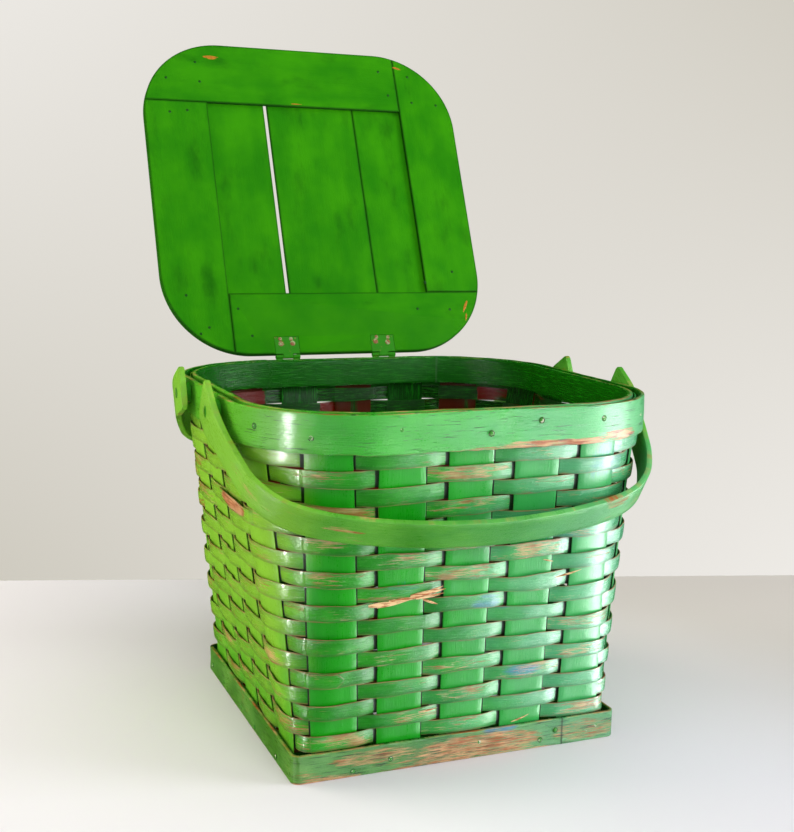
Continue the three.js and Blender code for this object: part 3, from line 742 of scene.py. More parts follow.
def build_lid(material):
    half, slit = GAP / 2, PANEL_SLIT / 2
    panel_bottom = LID_INSIDE + LID_BOARD + GAP
    # name, cuts as (axis, limit, keep above), whether the grain runs along Y, inside face, seed
    boards = (
        ("lid_hinge_rail", [(0, LID_LEFT + half, True), (1, LID_HINGE_SIDE + half, True)], False,
         LID_INSIDE, 100),
        ("lid_left_stile", [(0, LID_LEFT - half, False), (1, LID_FAR_SIDE + half, True)], True,
         LID_INSIDE, 101),
        ("lid_right_stile", [(0, LID_RIGHT + half, True), (1, LID_HINGE_SIDE - half, False)], True,
         LID_INSIDE, 102),
        ("lid_front_rail", [(0, LID_RIGHT - half, False), (1, LID_FAR_SIDE - half, False)], False,
         LID_INSIDE, 103),
        ("lid_panel_left", [(0, PANEL_SLIT_X - slit, False)], True, panel_bottom, 110),
        ("lid_panel_middle", [(0, PANEL_SLIT_X + slit, True), (0, PANEL_SEAM_X - half, False)], True,
         panel_bottom, 111),
        ("lid_panel_right", [(0, PANEL_SEAM_X + half, True)], True, panel_bottom, 112),
    )
    for name, cuts, turned, bottom, seed in boards:
        outline = lid_outline()
        for axis, limit, above in cuts:
            outline = clip(outline, axis, limit, above)
        shape = Shape()
        add_plate(shape, clear_corners(outline), bottom, turned, seed)
        board = shape.piece(f"board_{name}", material, "lid", "lid", [name], LID_MATRIX)
        if name == "lid_hinge_rail":
            cut_leaf_seats(board)


# ---- handles ----

# The strap's outer face from its pivot to its bow: [x, reach away from the pivots' line].
STRAP_RIGHT = [(162, -15), (162, 9), (158, 30), (151.5, 54), (144, 76), (131, 97), (110.5, 112.2), (63, 125)]
STRAP_LEFT = [(162, -15), (162, 10), (159.5, 30), (155.5, 54), (150, 77), (136, 98), (112, 112.5), (64, 125)]


def between(t, t0, t1, p0, p1):
    """The point at t on the straight line through p0 at t0 and p1 at t1."""
    return (t1 - t) / (t1 - t0) * p0 + (t - t0) / (t1 - t0) * p1


def smooth_line(points, count):
    """Evenly spaced points on a centripetal Catmull-Rom curve."""
    points = np.asarray(points, float)
    ends = np.vstack([2 * points[0] - points[1], points, 2 * points[-1] - points[-2]])
    dense = []
    for p0, p1, p2, p3 in zip(ends, ends[1:], ends[2:], ends[3:]):
        t1 = np.linalg.norm(p1 - p0) ** 0.5
        t2 = t1 + np.linalg.norm(p2 - p1) ** 0.5
        t3 = t2 + np.linalg.norm(p3 - p2) ** 0.5
        t = np.linspace(t1, t2, 40, endpoint=False)[:, None]
        a2 = between(t, t1, t2, p1, p2)
        b1 = between(t, 0, t2, between(t, 0, t1, p0, p1), a2)
        b2 = between(t, t1, t3, a2, between(t, t2, t3, p2, p3))
        dense.append(between(t, t1, t2, b1, b2))
    dense = np.vstack([*dense, points[-1:]])
    along = distance_along(dense)
    spaced = np.linspace(0, along[-1], count)
    return np.stack([np.interp(spaced, along, dense[:, k]) for k in range(2)], -1)


def bend_curve(start, control, end, y):
    """Height at y of a quadratic curve whose y runs steadily from start to end."""
    t = np.linspace(0, 1, 30)[:, None]
    start, control, end = (np.array(p, float) for p in (start, control, end))
    curve = (1 - t) ** 2 * start + 2 * t * (1 - t) * control + t**2 * end
    order = np.argsort(curve[:, 0])
    return np.interp(y, curve[order, 0], curve[order, 1])


def strap_edges(reach):
    """Lower and upper edge of the strap in its own frame, where it widens into its end plate."""
    y = -reach
    wide, narrow, end, taper = HANDLE_END_HALF_WIDTH, HANDLE_HALF_WIDTH, HANDLE_END_REACH, HANDLE_TAPER
    side = bend_curve((-6, wide - 1), (-taper * 0.6, narrow + 1), (-taper, narrow), y)
    plate = np.interp(y, [-6, end - 3], [wide - 1, wide])
    upper = np.where(y < -6, side, plate)
    upper = np.where(y > end - 3, bend_curve((end - 3, wide), (end, wide), (end, wide - 2), y), upper)
    lower = -np.where(y < -6, side, np.interp(y, [-6, end - 5], [wide - 1, wide]))
    lower = np.where(y > end - 5, bend_curve((end - 5, -wide), (end, -wide + 1), (end, 0), y), lower)
    return lower, upper


STRAP_BLUE = 0.2  # how easily blue shows through the handles' paint
STRAP_EDGE, STRAP_COLUMNS, STRAP_STEPS = 1.0, 7, 240


def strap_line():
    """The line of the strap's outer face, [x, reach], and its outward directions."""
    route = [*STRAP_RIGHT, (0, HANDLE_REACH), *[(-x, reach) for x, reach in reversed(STRAP_LEFT)]]
    line = smooth_line(route, STRAP_STEPS)
    tip = np.linspace(-HANDLE_END_REACH, -HANDLE_END_REACH + 6, 13)[:-1]
    right = np.stack([np.full(len(tip), HANDLE_OUTER_X), tip], -1)
    left = np.stack([np.full(len(tip), -HANDLE_OUTER_X), tip[::-1]], -1)
    line = np.vstack([right, line[line[:, 1] > tip[-1] + 0.5], left])
    direction = unit(np.gradient(line, axis=0))
    normal = np.stack([-direction[:, 1], direction[:, 0]], -1)
    return line, normal * np.sign(normal[0, 0])


def build_handle(name, material, body, place, seed):
    """One bent strap, the same for both handles."""
    line, normal = strap_line()
    share = np.linspace(0, 1, STRAP_COLUMNS)
    lower, upper = strap_edges(line[:, 1])
    z = (lower + STRAP_EDGE)[:, None] + share[None] * (upper - lower - 2 * STRAP_EDGE)[:, None]
    grid = np.zeros((len(line), STRAP_COLUMNS, 3))
    grid[..., :2] = ((line - normal * (HANDLE_THICKNESS / 2)) * [1, -1])[:, None]
    grid[..., 2] = z
    faces_out = np.zeros_like(grid)
    faces_out[..., :2] = (normal * [1, -1])[:, None]
    ripple = Waves(seed, 40, 160)(np.arange(len(line)) * 2.5)
    thickness = HANDLE_THICKNESS / 2 * (1 + 0.03 * ripple)
    shape = Shape()
    add_sheet(shape, grid, faces_out, thickness, STRAP_EDGE, seed=seed, blue=STRAP_BLUE)
    strap = shape.piece(f"strap_{name}", material, "handles", body, [name], place)
    cut_rivet_seats(strap, place)


def cylinder_along_x(shape, radius, x0, x1):
    """A round bar about the X axis, from x0 to x1."""
    segments = 40
    turns = np.linspace(0, 2 * math.pi, segments, endpoint=False)
    ring = np.stack([np.zeros(segments), np.cos(turns) * radius, np.sin(turns) * radius], -1)
    shape.add(np.concatenate([ring + [x0, 0, 0], ring + [x1, 0, 0]]), tube_faces(2, segments))


def cut_rivet_seats(strap, place):
    """Cuts the round hollow for each rivet head into the outside of the strap's ends."""
    cutter = Shape()
    floor = HANDLE_OUTER_X - RIVET_HEAD_DEPTH - 2 * GAP
    for side in (-1, 1):
        ends = sorted((side * floor, side * (HANDLE_OUTER_X + 5)))
        cylinder_along_x(cutter, RIVET_HEAD + GAP, *ends)
    carve(strap, cutter, place)


# Where the handles' own frames lie at rest.
FRONT_PLACE = Matrix.Translation(Vector((0, -PIVOT_Y, PIVOT_Z)) * MM) @ Matrix.Rotation(
    math.radians(FRONT_HANDLE_DEG), 4, "X")
REAR_PLACE = Matrix.Translation(Vector((0, PIVOT_Y, PIVOT_Z)) * MM) @ Matrix.Rotation(
    math.radians(-REAR_HANDLE_DEG), 4, "X") @ Matrix.Rotation(math.pi, 4, "Z")


# ---- materials ----

COAT_ROUGHNESS, COAT_BUMP = 0.12, 0.3


class Nodes:
    """Short ways to build the node tree of one material, or of the world."""

    def __init__(self, owner):
        self.owner = owner
        owner.use_nodes = True
        self.tree = owner.node_tree
        self.tree.nodes.clear()

    def node(self, kind, inputs=(), **settings):
        made = self.tree.nodes.new(kind)
        for key, value in settings.items():
            setattr(made, key, value)
        for key, value in dict(inputs).items():
            if isinstance(value, bpy.types.NodeSocket):
                self.tree.links.new(value, made.inputs[key])
            else:
                made.inputs[key].default_value = value
        return made

    def math(self, operation, a, b=0.0, clamp=False):
        return self.node("ShaderNodeMath", {0: a, 1: b}, operation=operation, use_clamp=clamp).outputs[0]

    def carried(self, name, output="Fac"):
        """A number that each vertex carries, or a vector."""
        return self.node("ShaderNodeAttribute", attribute_name=name).outputs[output]

    def place(self):
        return self.node("ShaderNodeTexCoord").outputs["Object"]

    def split(self, vector):
        return self.node("ShaderNodeSeparateXYZ", {"Vector": vector}).outputs

    def weigh(self, *parts):
        """The sum of each value times its factor."""
        total = 0.0
        for value, factor in parts:
            total = self.math("ADD", total, self.times(value, factor))
        return total

    def stretched(self, vector, scale):
        return self.node("ShaderNodeMapping", {"Vector": vector, "Scale": scale}).outputs["Vector"]

    def noise(self, vector, scale, detail, roughness=0.55):
        settings = {"Vector": vector, "Scale": scale, "Detail": detail, "Roughness": roughness}
        return self.node("ShaderNodeTexNoise", settings).outputs["Fac"]

    def step(self, value, low, high):
        """0 below low, 1 above high, smooth between."""
        inputs = {"Value": value, "From Min": low, "From Max": high}
        return self.node("ShaderNodeMapRange", inputs, interpolation_type="SMOOTHSTEP").outputs[0]

    def mix(self, fac, a, b, blend="MIX"):
        made = self.node("ShaderNodeMix", {0: fac, 6: a, 7: b}, data_type="RGBA", blend_type=blend)
        return made.outputs[2]

    def times(self, a, b):
        return self.math("MULTIPLY", a, b)

    def fibres(self, grain, along, across, detail, roughness=0.55):
        """A noise drawn out along the grain; along and across are its rates per millimetre."""
        return self.noise(self.stretched(grain, (along, across, 1)), 1.0, detail, roughness)

    def finish(self, colour, roughness, height=None, bump=0.0, specular=0.5, coat=0.0):
        inputs = {"Base Color": colour, "Roughness": roughness, "Specular IOR Level": specular,
                  "Coat Weight": coat, "Coat Roughness": COAT_ROUGHNESS}
        if height is not None:
            for socket, strength in (("Normal", 1.0), ("Coat Normal", COAT_BUMP)):
                made = self.node("ShaderNodeBump", {"Strength": strength, "Distance": bump, "Height": height})
                inputs[socket] = made.outputs["Normal"]
        shader = self.node("ShaderNodeBsdfPrincipled", inputs)
        self.node("ShaderNodeOutputMaterial", {"Surface": shader.outputs[0]})
        return self.owner


WOOD_TAN = srgb(216, 164, 112)
WOOD_BROWN = srgb(166, 84, 30)
BLUE_COAT = srgb(58, 116, 178)
# Near-black green: the colour of cracks, and of painted shade in creases and along edges.
SHADE_AND_CRACK_DARK = srgb(2, 16, 2)
# Mint: a painted sheen standing in for the window's cool reflection on the front's right.
RIGHT_SHEEN_MINT = srgb(100, 190, 146)
# Lime: a painted cast of warm light on the left side.
LEFT_LIGHT_LIME = srgb(150, 206, 56)


class WoodNodes(Nodes):
    """Nodes of painted wood, with the noises that its looks are made of.

    The grain runs along the "grain" attribute's first number, in millimetres."""

    def __init__(self, owner):
        super().__init__(owner)
        self.grain, self.where = self.carried("grain", "Vector"), self.place()
        self.clouds = self.noise(self.where, 24.0, 4.0)
        self.fibre = self.fibres(self.grain, 0.07, 1.5, 5.0, 0.7)
        self.streak = self.fibres(self.grain, 0.03, 0.5, 4.0, 0.65)
        self.drift = self.fibres(self.grain, 0.016, 0.05, 2.0)
        self.patch = self.noise(self.where, 40.0, 3.0, 0.6)
        self.grit = self.noise(self.where, 700.0, 3.0, 0.6)


def paint_colour(n, light, dark, right_sheen, left_light, streaks, blotches):
    """The paint before wear, and painted light on it: a mint sheen painted on the front's right and a lime
    cast of warm light painted on the left, each as strong as its argument says.
    """
    tone = n.weigh((n.clouds, 0.7), (n.fibre, streaks), (n.drift, 0.5))
    tone = n.step(tone, 0.42 + streaks * 0.35, 0.80 + streaks * 0.65)
    colour = n.mix(tone, dark, light)
    x, y, _ = n.split(n.where)
    # Painted sheen: the front's right is tinted mint where the window's reflection lies.
    if right_sheen:
        rightward = n.step(n.weigh((x, 1.0), (n.patch, 0.10)), -0.03, 0.17)
        front = n.step(y, -0.085, -0.115)
        colour = n.mix(n.times(n.times(rightward, front), right_sheen), colour, RIGHT_SHEEN_MINT)
    # Painted light: the left side is tinted lime as if lit warm from the left.
    if left_light:
        leftward = n.step(n.weigh((x, 1.0), (n.patch, 0.02)), -0.095, -0.125)
        colour = n.mix(n.times(leftward, left_light), colour, LEFT_LIGHT_LIME)
    if blotches:
        blotch = n.step(n.fibres(n.grain, 0.02, 0.045, 5.0, 0.62), 0.53, 0.74)
        colour = n.mix(n.times(blotch, blotches), colour, dark, "MULTIPLY")
    blue = n.weigh((n.carried("blue"), 1.0), (n.streak, 0.7), (n.step(n.clouds, 0.60, 0.74), 0.2))
    return n.mix(n.times(n.step(blue, 0.62, 1.06), 0.75), colour, BLUE_COAT)


def bare_share(n, wear, scuffs):
    """Where wood shows: edges rubbed by use, scuffs along the grain, and the listed spots."""
    worn = n.weigh((n.carried("edge"), 0.62), (n.fibre, 0.8), (n.patch, 0.5))
    rubbed = n.times(n.step(worn, 1.42 - wear, 1.66 - wear), 0.85)
    scuff = n.weigh((n.fibre, 1.0), (n.streak, 0.5), (n.drift, 0.9), (n.carried("crest"), 0.10))
    scuff = n.step(scuff, 1.49 - 0.08 * scuffs, 1.58 - 0.08 * scuffs)
    scuff = n.times(scuff, 0.8 * min(scuffs, 1))
    spot = n.weigh((n.carried("bare"), 1.0), (n.fibre, 0.9), (n.streak, 0.4))
    return n.math("MAXIMUM", n.step(spot, 1.08, 1.26), n.math("MAXIMUM", rubbed, scuff))


def lining_colour(n, inner, light, red):
    """The darker colour of the basket's inside faces, with lighter streaks painted in as glints. Some splints
    were red before.
    """
    # Painted highlights: lighter streaks along the grain.
    glint = n.math("MAXIMUM", n.step(n.fibre, 0.53, 0.64), n.step(n.streak, 0.57, 0.70))
    lining = n.mix(n.times(glint, 0.6), inner, light)
    unpainted = n.weigh((n.carried("brick"), 0.6), (n.drift, 1.0), (n.streak, 0.5))
    return n.mix(n.step(unpainted, 1.12, 1.26), lining, red)


def painted_wood(name, light, dark, wear, right_sheen=0.0, left_light=0.0, inner=None, red=None, gloss=0.3, specular=0.5,
                 streaks=0.35, scuffs=1.0, coat=0.0, cracks=0.0, blotches=0.0, bump=0.0005, edge_shade=0.0):
    """Worn paint over wood, with painted light in it: a painted sheen and a painted cast of light as tints,
    painted shade in creases and along edges, and painted glints on the inside faces.
    """
    n = WoodNodes(bpy.data.materials.new(name))
    wood = n.mix(n.step(n.weigh((n.streak, 0.6), (n.patch, 0.5)), 0.50, 0.64), WOOD_TAN, WOOD_BROWN)
    bare = bare_share(n, wear, scuffs)
    colour = n.mix(bare, paint_colour(n, light, dark, right_sheen, left_light, streaks, blotches), wood)
    height = n.weigh((n.fibre, 0.7), (n.streak, 0.5), (n.grit, 0.25), (bare, -0.35))
    if cracks:
        crack = n.step(n.fibres(n.grain, 0.05, 1.1, 2.0), 0.71 - cracks * 0.05, 0.735 - cracks * 0.05)
        colour = n.mix(n.times(crack, 0.8), colour, SHADE_AND_CRACK_DARK)
        height = n.math("SUBTRACT", height, n.times(crack, 1.2))
    # Painted shade: near-black where weavers pass behind stakes, beside the bands' laps, and along edges as
    # far as edge_shade says.
    shade = n.weigh((n.step(n.carried("crease"), 0.56, 0.68), 0.97), (n.carried("edge"), edge_shade))
    colour = n.mix(n.math("MINIMUM", shade, 0.97), colour, SHADE_AND_CRACK_DARK)
    if inner is not None:
        hidden = n.step(n.carried("inside"), 0.4, 0.9)
        colour = n.mix(hidden, colour, lining_colour(n, inner, light, red))
        height = n.weigh((height, 1.0), (n.times(n.fibre, hidden), 1.5))
        bare = n.math("SUBTRACT", bare, n.times(hidden, 0.5))
    rough = n.weigh((n.fibre, 0.20), (n.patch, 0.10), (bare, 0.28), (n.grit, 0.10), (shade, 0.5))
    rough = n.math("ADD", rough, gloss - 0.2, clamp=True)
    return n.finish(colour, rough, height, bump, specular=specular, coat=coat)


def painted_metal(name, paint, rust, chipped=0.64):
    """Paint over metal, worn through where a noise goes above "chipped"."""
    n = Nodes(bpy.data.materials.new(name))
    place = n.place()
    chips = n.step(n.noise(place, 420.0, 3.0, 0.6), chipped, chipped + 0.05)
    colour = n.mix(n.times(chips, 0.8), paint, rust)
    rough = n.math("ADD", 0.5, n.times(chips, 0.3))
    return n.finish(colour, rough, n.noise(place, 900.0, 2.0), 0.0002, specular=0.2)


def bare_wood():
    """Torn, unpainted wood fibres."""
    n = Nodes(bpy.data.materials.new("bare_wood"))
    grain = n.noise(n.stretched(n.place(), (120, 120, 900)), 1.0, 3.0, 0.6)
    colour = n.mix(n.step(grain, 0.38, 0.56), WOOD_BROWN, srgb(232, 196, 146))
    return n.finish(colour, 0.7, grain, 0.0003, specular=0.2)


def table_top():
    """A pale table, dimmer and warmer towards the back right."""
    n = Nodes(bpy.data.materials.new("table_top"))
    cloud = n.noise(n.place(), 1.5, 2.0)
    x, y, _ = n.split(n.place())
    dim = n.step(n.weigh((x, 1.0), (y, 0.5)), 0.05, 0.42)
    colour = n.mix(n.times(cloud, 0.3), srgb(238, 234, 243), srgb(228, 223, 232))
    colour = n.mix(n.times(dim, 0.85), colour, srgb(206, 199, 193))
    return n.finish(colour, 0.45, specular=0.15)


# ---- nails, screws, loose strips and splinters ----


def add_lathe(shape, profile, matrix):
    """A turned form: profile is [radius, height] along local +Z, from the axis or back to it."""
    segments = 28
    turns = np.linspace(0, 2 * math.pi, segments, endpoint=False)
    circle = np.stack([np.cos(turns), np.sin(turns)], -1)
    rings = [np.column_stack([circle * radius, np.full(segments, height)]) for radius, height in profile]
    matrix = np.array(matrix)
    points = np.concatenate(rings) @ matrix[:3, :3].T + matrix[:3, 3]
    shape.add(points, tube_faces(len(rings), segments))


def facing(point, normal):
    """Matrix that stands local +Z along a direction at a point, in millimetres."""
    turn = Vector(normal).to_track_quat("Z", "Y").to_matrix().to_4x4()
    return Matrix.Translation(Vector(point)) @ turn


# Profiles of the heads: radius as a share of the head's radius, and height.
NAIL_HEAD = [(0.01, -0.6), (1.5, -0.6), (1.5, -0.1), (1.3, 0.1), (1.04, -0.02), (1.0, 0.0), (0.85, 0.24),
             (0.5, 0.4), (0.01, 0.46)]
SCREW_HEAD = [(0.01, -0.5), (1.0, -0.5), (1.0, 0.02), (0.8, 0.34), (0.4, 0.4), (0.01, 0.24)]
# A low dark disc round each nail: painted shade of the hollow where the head is driven into the wood.
NAIL_SEAT = [(0.01, -0.5), (1.35, -0.5), (1.35, 0.08), (0.01, 0.09)]


def add_head(shape, profile, radius, point, normal):
    """A nail or screw head: the profile's radii are shares of the head's radius."""
    sized = [(share * radius, height) for share, height in profile]
    add_lathe(shape, sized, facing(point, normal))


def on_band(width, depth, radius, x, y, z):
    """The place on a band's outside nearest to a point, and the direction out of it."""
    points, normals, _ = loop_line(width, depth, radius, 1.0)
    nearest = np.argmin(length(points[:, :2] - np.array([x, y])))
    return (points[nearest, 0], points[nearest, 1], z), normals[nearest]


# Radius of each kind of head.
RIM_NAIL, BASE_NAIL, LID_NAIL, LEAF_SCREW, LEAF_HOLE = 1.5, 1.4, 1.2, 2.3, 1.7
SEAT_SHARE = 1.08

# Places of the nails on the bands (x, y, z), and of the nails and screws on the lid's inside (x, y).
# LEAF_HOLES are the smaller marks below the hinge screws.
RIM_NAILS = [(-143.6, -100.7, 238.5), (-116, -133, 235), (-63, -149, 240), (-1, -149, 235), (35, -149, 242),
             (84, -149, 241), (126, -124, 238), (152, -40, 237), (152, 30, 241), (140, 110, 236),
             (70, 149, 239), (5, 149, 243), (-72, 149, 237), (-146, 95, 240), (-152, 5, 236)]
BASE_NAILS = [(-80, -117, 4), (-53.5, -117, 8.8), (13, -117, 11.2), (61, -117, 5.7), (73, -117, 11.5),
              (97.6, -117, 8), (105.7, -117, 10.6), (-122, 102.6, 6.5), (-122, 66, 6), (-122, 14, 4.8),
              (-122, -23.7, 3.8), (-122, -78.5, 4.1), (122, -70, 8), (122, 12, 11), (122, 84, 6),
              (60, 117, 9), (-12, 117, 7), (-88, 117, 11)]
LID_NAILS = [(-124.8, -55), (-108.2, -26.5), (-115.9, -21.1), (-82, -42.7), (-72.5, -18.5), (80.8, -40.9),
             (76.7, -274.4), (105.3, -270.7), (83.2, -250.5), (105.9, -244.2), (130.1, -242.8),
             (-95.6, -272.7), (-93.4, -253.9), (-122.8, -255.9), (-122.4, -223.2), (-107, -225.5),
             (112, -40), (92, -66), (120, -76)]
LEAF_SCREWS = [(-48.5, -11), (-38.2, -11.2), (36.8, -11.6), (48, -10.6)]
LEAF_HOLES = [(-48.9, -15.2), (-39.3, -15.1), (38.2, -15.4), (48.6, -15)]


def build_nails(material, sunk_shade_material, screw_material):
    bands = ((RIM_NAILS, "rim", RIM_NAIL, RIM_OUTLINE), (BASE_NAILS, "base", BASE_NAIL, BASE_OUTLINE))
    for places, name, size, outline in bands:
        heads, seats = Shape(), Shape()
        for place in places:
            point, normal = on_band(*outline, *place)
            add_head(heads, NAIL_HEAD, size, point, normal)
            add_head(seats, NAIL_SEAT, size * SEAT_SHARE, point, normal)
        heads.piece(f"{name}_nails", material, "bands")
        seats.piece(f"{name}_nail_seats", sunk_shade_material, "bands")
    screwed = LID_INSIDE + LEAF_SINK
    # The lid's nails are dark discs: partly the sunk heads' own colour, partly painted shade of their dents.
    groups = (("lid_nails", sunk_shade_material, "lid", ((LID_NAILS, LID_NAIL, LID_INSIDE + 0.05),)),
              ("hinge_screws", screw_material, "hardware",
               ((LEAF_SCREWS, LEAF_SCREW, screwed), (LEAF_HOLES, LEAF_HOLE, screwed))))
    for name, paint, slot, rows in groups:
        shape = Shape()
        for places, size, z in rows:
            for x, y in places:
                add_head(shape, SCREW_HEAD, size, (x, y, z), (0, 0, -1))
        shape.piece(name, paint, slot, "lid", matrix=LID_MATRIX)


SLIVER_RINGS = 7
SPLINTER_DEPTH, CHIP_DEPTH = 0.6, 0.12


def add_sliver(shape, start, end, width, depth, normal):
    """A torn splinter: a tapering bar from start to end, lying on the surface."""
    start, end, normal = (np.array(v, float) for v in (start, end, normal))
    side = np.cross(unit(end - start), normal)
    points = []
    for share in np.linspace(0, 1, SLIVER_RINGS):
        size = math.sin(math.pi * min(0.15 + share * 0.85, 0.98)) + 0.05
        middle = start + (end - start) * share + normal * math.sin(share * math.pi) * depth
        for a, b in ((-1, -1), (1, -1), (0.7, 1), (-0.7, 1)):
            points.append(middle + side * a * width * size / 2 + normal * b * depth * size / 2)
    shape.add(points, tube_faces(SLIVER_RINGS, 4))


# Splinters on the front: start, end (x, z) and width.
SPLINTERS = [(-76, 122.2, -54, 122.8, 3.4), (-70, 120.6, -48, 123.6, 1.8), (-62, 124.2, -38, 125.4, 2.2),
             (-47, 126.5, -22, 129.3, 2.8), (-43, 124.2, -23, 126.4, 2.0), (-38, 123.2, -27, 118.8, 1.6),
             (-34, 129, -24, 131.4, 1.2), (60, 129.4, 80, 133.5, 1.2), (49, 143.5, 57, 141.5, 0.9),
             (-34, 40, -20, 41.5, 1.1), (38, 22, 52, 26.5, 0.9)]

LOOSE_HALF, LOOSE_EDGE = SPLINT * 0.4, 0.25


def add_loose_strip(name, material, side, u, z, proud, seed):
    """A thinner strip of splint lying over the weaving, proud of the wall by the given distances.

    u and z are its places on the wall: one u for each row of the grid, z for each of its points."""
    point, normal = wall(side, np.repeat(u[:, None], z.shape[1], 1), z)
    shape = Shape()
    points = settle(point + normal * proud[:, None, None])
    add_sheet(shape, points, normal, LOOSE_HALF, LOOSE_EDGE, seed=seed)
    shape.piece(name, material, "weave")


# The weaver whose end lies over its own start: its row, the stake it lies on, how far from that
# stake's middle it starts, the x of its tip and the length of its point.
LAP_ROW, LAP_STAKE, LAP_BEFORE, LAP_TIP, LAP_POINT = 13, -2, 21, -89.5, 4.5


def build_weaver_lap(material):
    """The pointed end of one weaver, lying over its own start on the front's first stake."""
    middle_z = sum(weaver_edges(LAP_ROW)) / 2
    centre = float(stake_centre(FRONT_SIDE, LAP_STAKE, np.array(middle_z)))
    shoulder = LAP_TIP - LAP_POINT
    body = np.linspace(centre - LAP_BEFORE, shoulder, 16)
    x = np.concatenate([body, np.linspace(shoulder, LAP_TIP, 8)[1:]])
    half = np.minimum(1, (LAP_TIP - x) / LAP_POINT * 0.94 + 0.06) * (ROW_PITCH / 2 - 1)
    z = middle_z + half[:, None] * np.linspace(-1, 1, 5)[None]
    share = (x - centre) / STAKE_WIDTH + 0.5
    proud = WEAVE_OFFSET + CREST * np.sin(math.pi * np.clip(share, 0, 1)) + SPLINT * 0.95 + 0.2
    proud = proud - smoothstep(0.0, -0.15, share) * 2.6
    add_loose_strip("splint_lap", material, FRONT_SIDE, x, z, proud, 120)


# The strip without paint: its row and where it starts and ends along the left side.
BARE_ROW, BARE_ENDS = 4, (3, 88)


def build_bare_splint(material):
    """A newer strip without paint, tucked over two stakes of the left side."""
    u = np.linspace(*BARE_ENDS, 30)
    z = sum(weaver_edges(BARE_ROW)) / 2 + (ROW_PITCH / 2 - 1.3) * np.linspace(-1, 1, 5)
    share = (u - u[0]) / (u[-1] - u[0])
    tuck = smoothstep(0.08, 0.0, share) + smoothstep(0.92, 1.0, share)
    proud = WEAVE_OFFSET + CREST + SPLINT + 0.2 - tuck * 2.4
    add_loose_strip("splint_bare", material, LEFT_SIDE, u, np.repeat(z[None], len(u), 0), proud, 121)


# Chips of bare wood on the lid's inside, near its rim: start, end (x, y) and width.
LID_CHIPS = [(-88, -278.4, -74, -278.6, 2.6), (-84, -277, -76, -277.2, 1.6), (92, -280, 100, -278, 2.0),
             (130.2, -48, 124.6, -37, 2.4), (127.6, -36, 126, -29, 1.6), (-12, -236.6, -2, -236.4, 1.0)]


def build_lid_chips(material):
    shape = Shape()
    for x0, y0, x1, y1, width in LID_CHIPS:
        add_sliver(shape, (x0, y0, LID_INSIDE), (x1, y1, LID_INSIDE), width, CHIP_DEPTH, (0, 0, -1))
    shape.piece("lid_chips", material, "lid", "lid", matrix=LID_MATRIX)


def build_splinters(material):
    """Torn fibres that stand off the front's weavers."""
    shape = Shape()
    for x0, z0, x1, z1, width in SPLINTERS:
        start, normal = wall(FRONT_SIDE, x0, z0)
        end, _ = wall(FRONT_SIDE, x1, z1)
        proud = normal * (WEAVE_OFFSET + CREST + SPLINT / 2 + 0.2)
        add_sliver(shape, start + proud, end + proud, width, SPLINTER_DEPTH, normal)
    shape.piece("front_splinters", material, "weave")


# ---- stage and light ----

TABLE_BACK = 1259  # from the camera to the table's far edge
TABLE_HALF_WIDTH, TABLE_DEPTH = 1400, 2300
TABLE_BACK_SLANT = math.tan(math.radians(5.1))
ROOM_GLOW, GLOSSY_GLOW = 0.3, 0.08  # the wall's light, and the share of it that gloss reflects


def build_room():
    """A pale wall all round, seen brighter than it lights the basket. Its tone drifts a little."""
    world = bpy.data.worlds.new("room")
    bpy.context.scene.world = world
    n = Nodes(world)
    direction = n.node("ShaderNodeTexCoord").outputs["Generated"]
    _, across = view_directions()
    sideways = n.node("ShaderNodeVectorMath", {0: direction, 1: across}, operation="DOT_PRODUCT")
    level = n.math("ADD", n.split(direction)["Z"], 0.04)
    drift = n.times(sideways.outputs["Value"], level)
    drift = n.node("ShaderNodeMapRange", {"Value": drift, "From Min": 0.07, "From Max": -0.07})
    tone = n.mix(drift.outputs[0], srgb(207, 203, 192), srgb(238, 235, 230))
    path = n.node("ShaderNodeLightPath").outputs
    glow_range = {"Value": path["Is Glossy Ray"], "To Min": ROOM_GLOW, "To Max": ROOM_GLOW * GLOSSY_GLOW}
    strength = n.node("ShaderNodeMapRange", glow_range).outputs[0]
    glow = n.node("ShaderNodeBackground", {"Color": srgb(236, 236, 226), "Strength": strength})
    seen = n.node("ShaderNodeBackground", {"Color": tone})
    mix = n.node("ShaderNodeMixShader", {0: path["Is Camera Ray"], 1: glow.outputs[0], 2: seen.outputs[0]})
    n.node("ShaderNodeOutputWorld", {"Surface": mix.outputs[0]})


def view_directions():
    """Level directions away from the camera and to its right."""
    heading = Vector(CAMERA_TARGET) - Vector(CAMERA_PLACE)
    heading.z = 0
    heading.normalize()
    return heading, Vector((heading.y, -heading.x, 0))


def build_table():
    heading, across = view_directions()
    back = Vector((CAMERA_PLACE[0], CAMERA_PLACE[1], 0)) + heading * TABLE_BACK
    edge = (across + heading * TABLE_BACK_SLANT) * TABLE_HALF_WIDTH
    corners = [back - edge, back + edge]
    corners += [corner - heading * TABLE_DEPTH for corner in reversed(corners)]
    mesh = bpy.data.meshes.new("table_top")
    mesh.from_pydata([(c * MM)[:] for c in corners], [], [(0, 3, 2, 1)])
    mesh.materials.append(table_top())
    table = link("table_top", mesh)
    table.visible_glossy = False
    table.visible_shadow = False


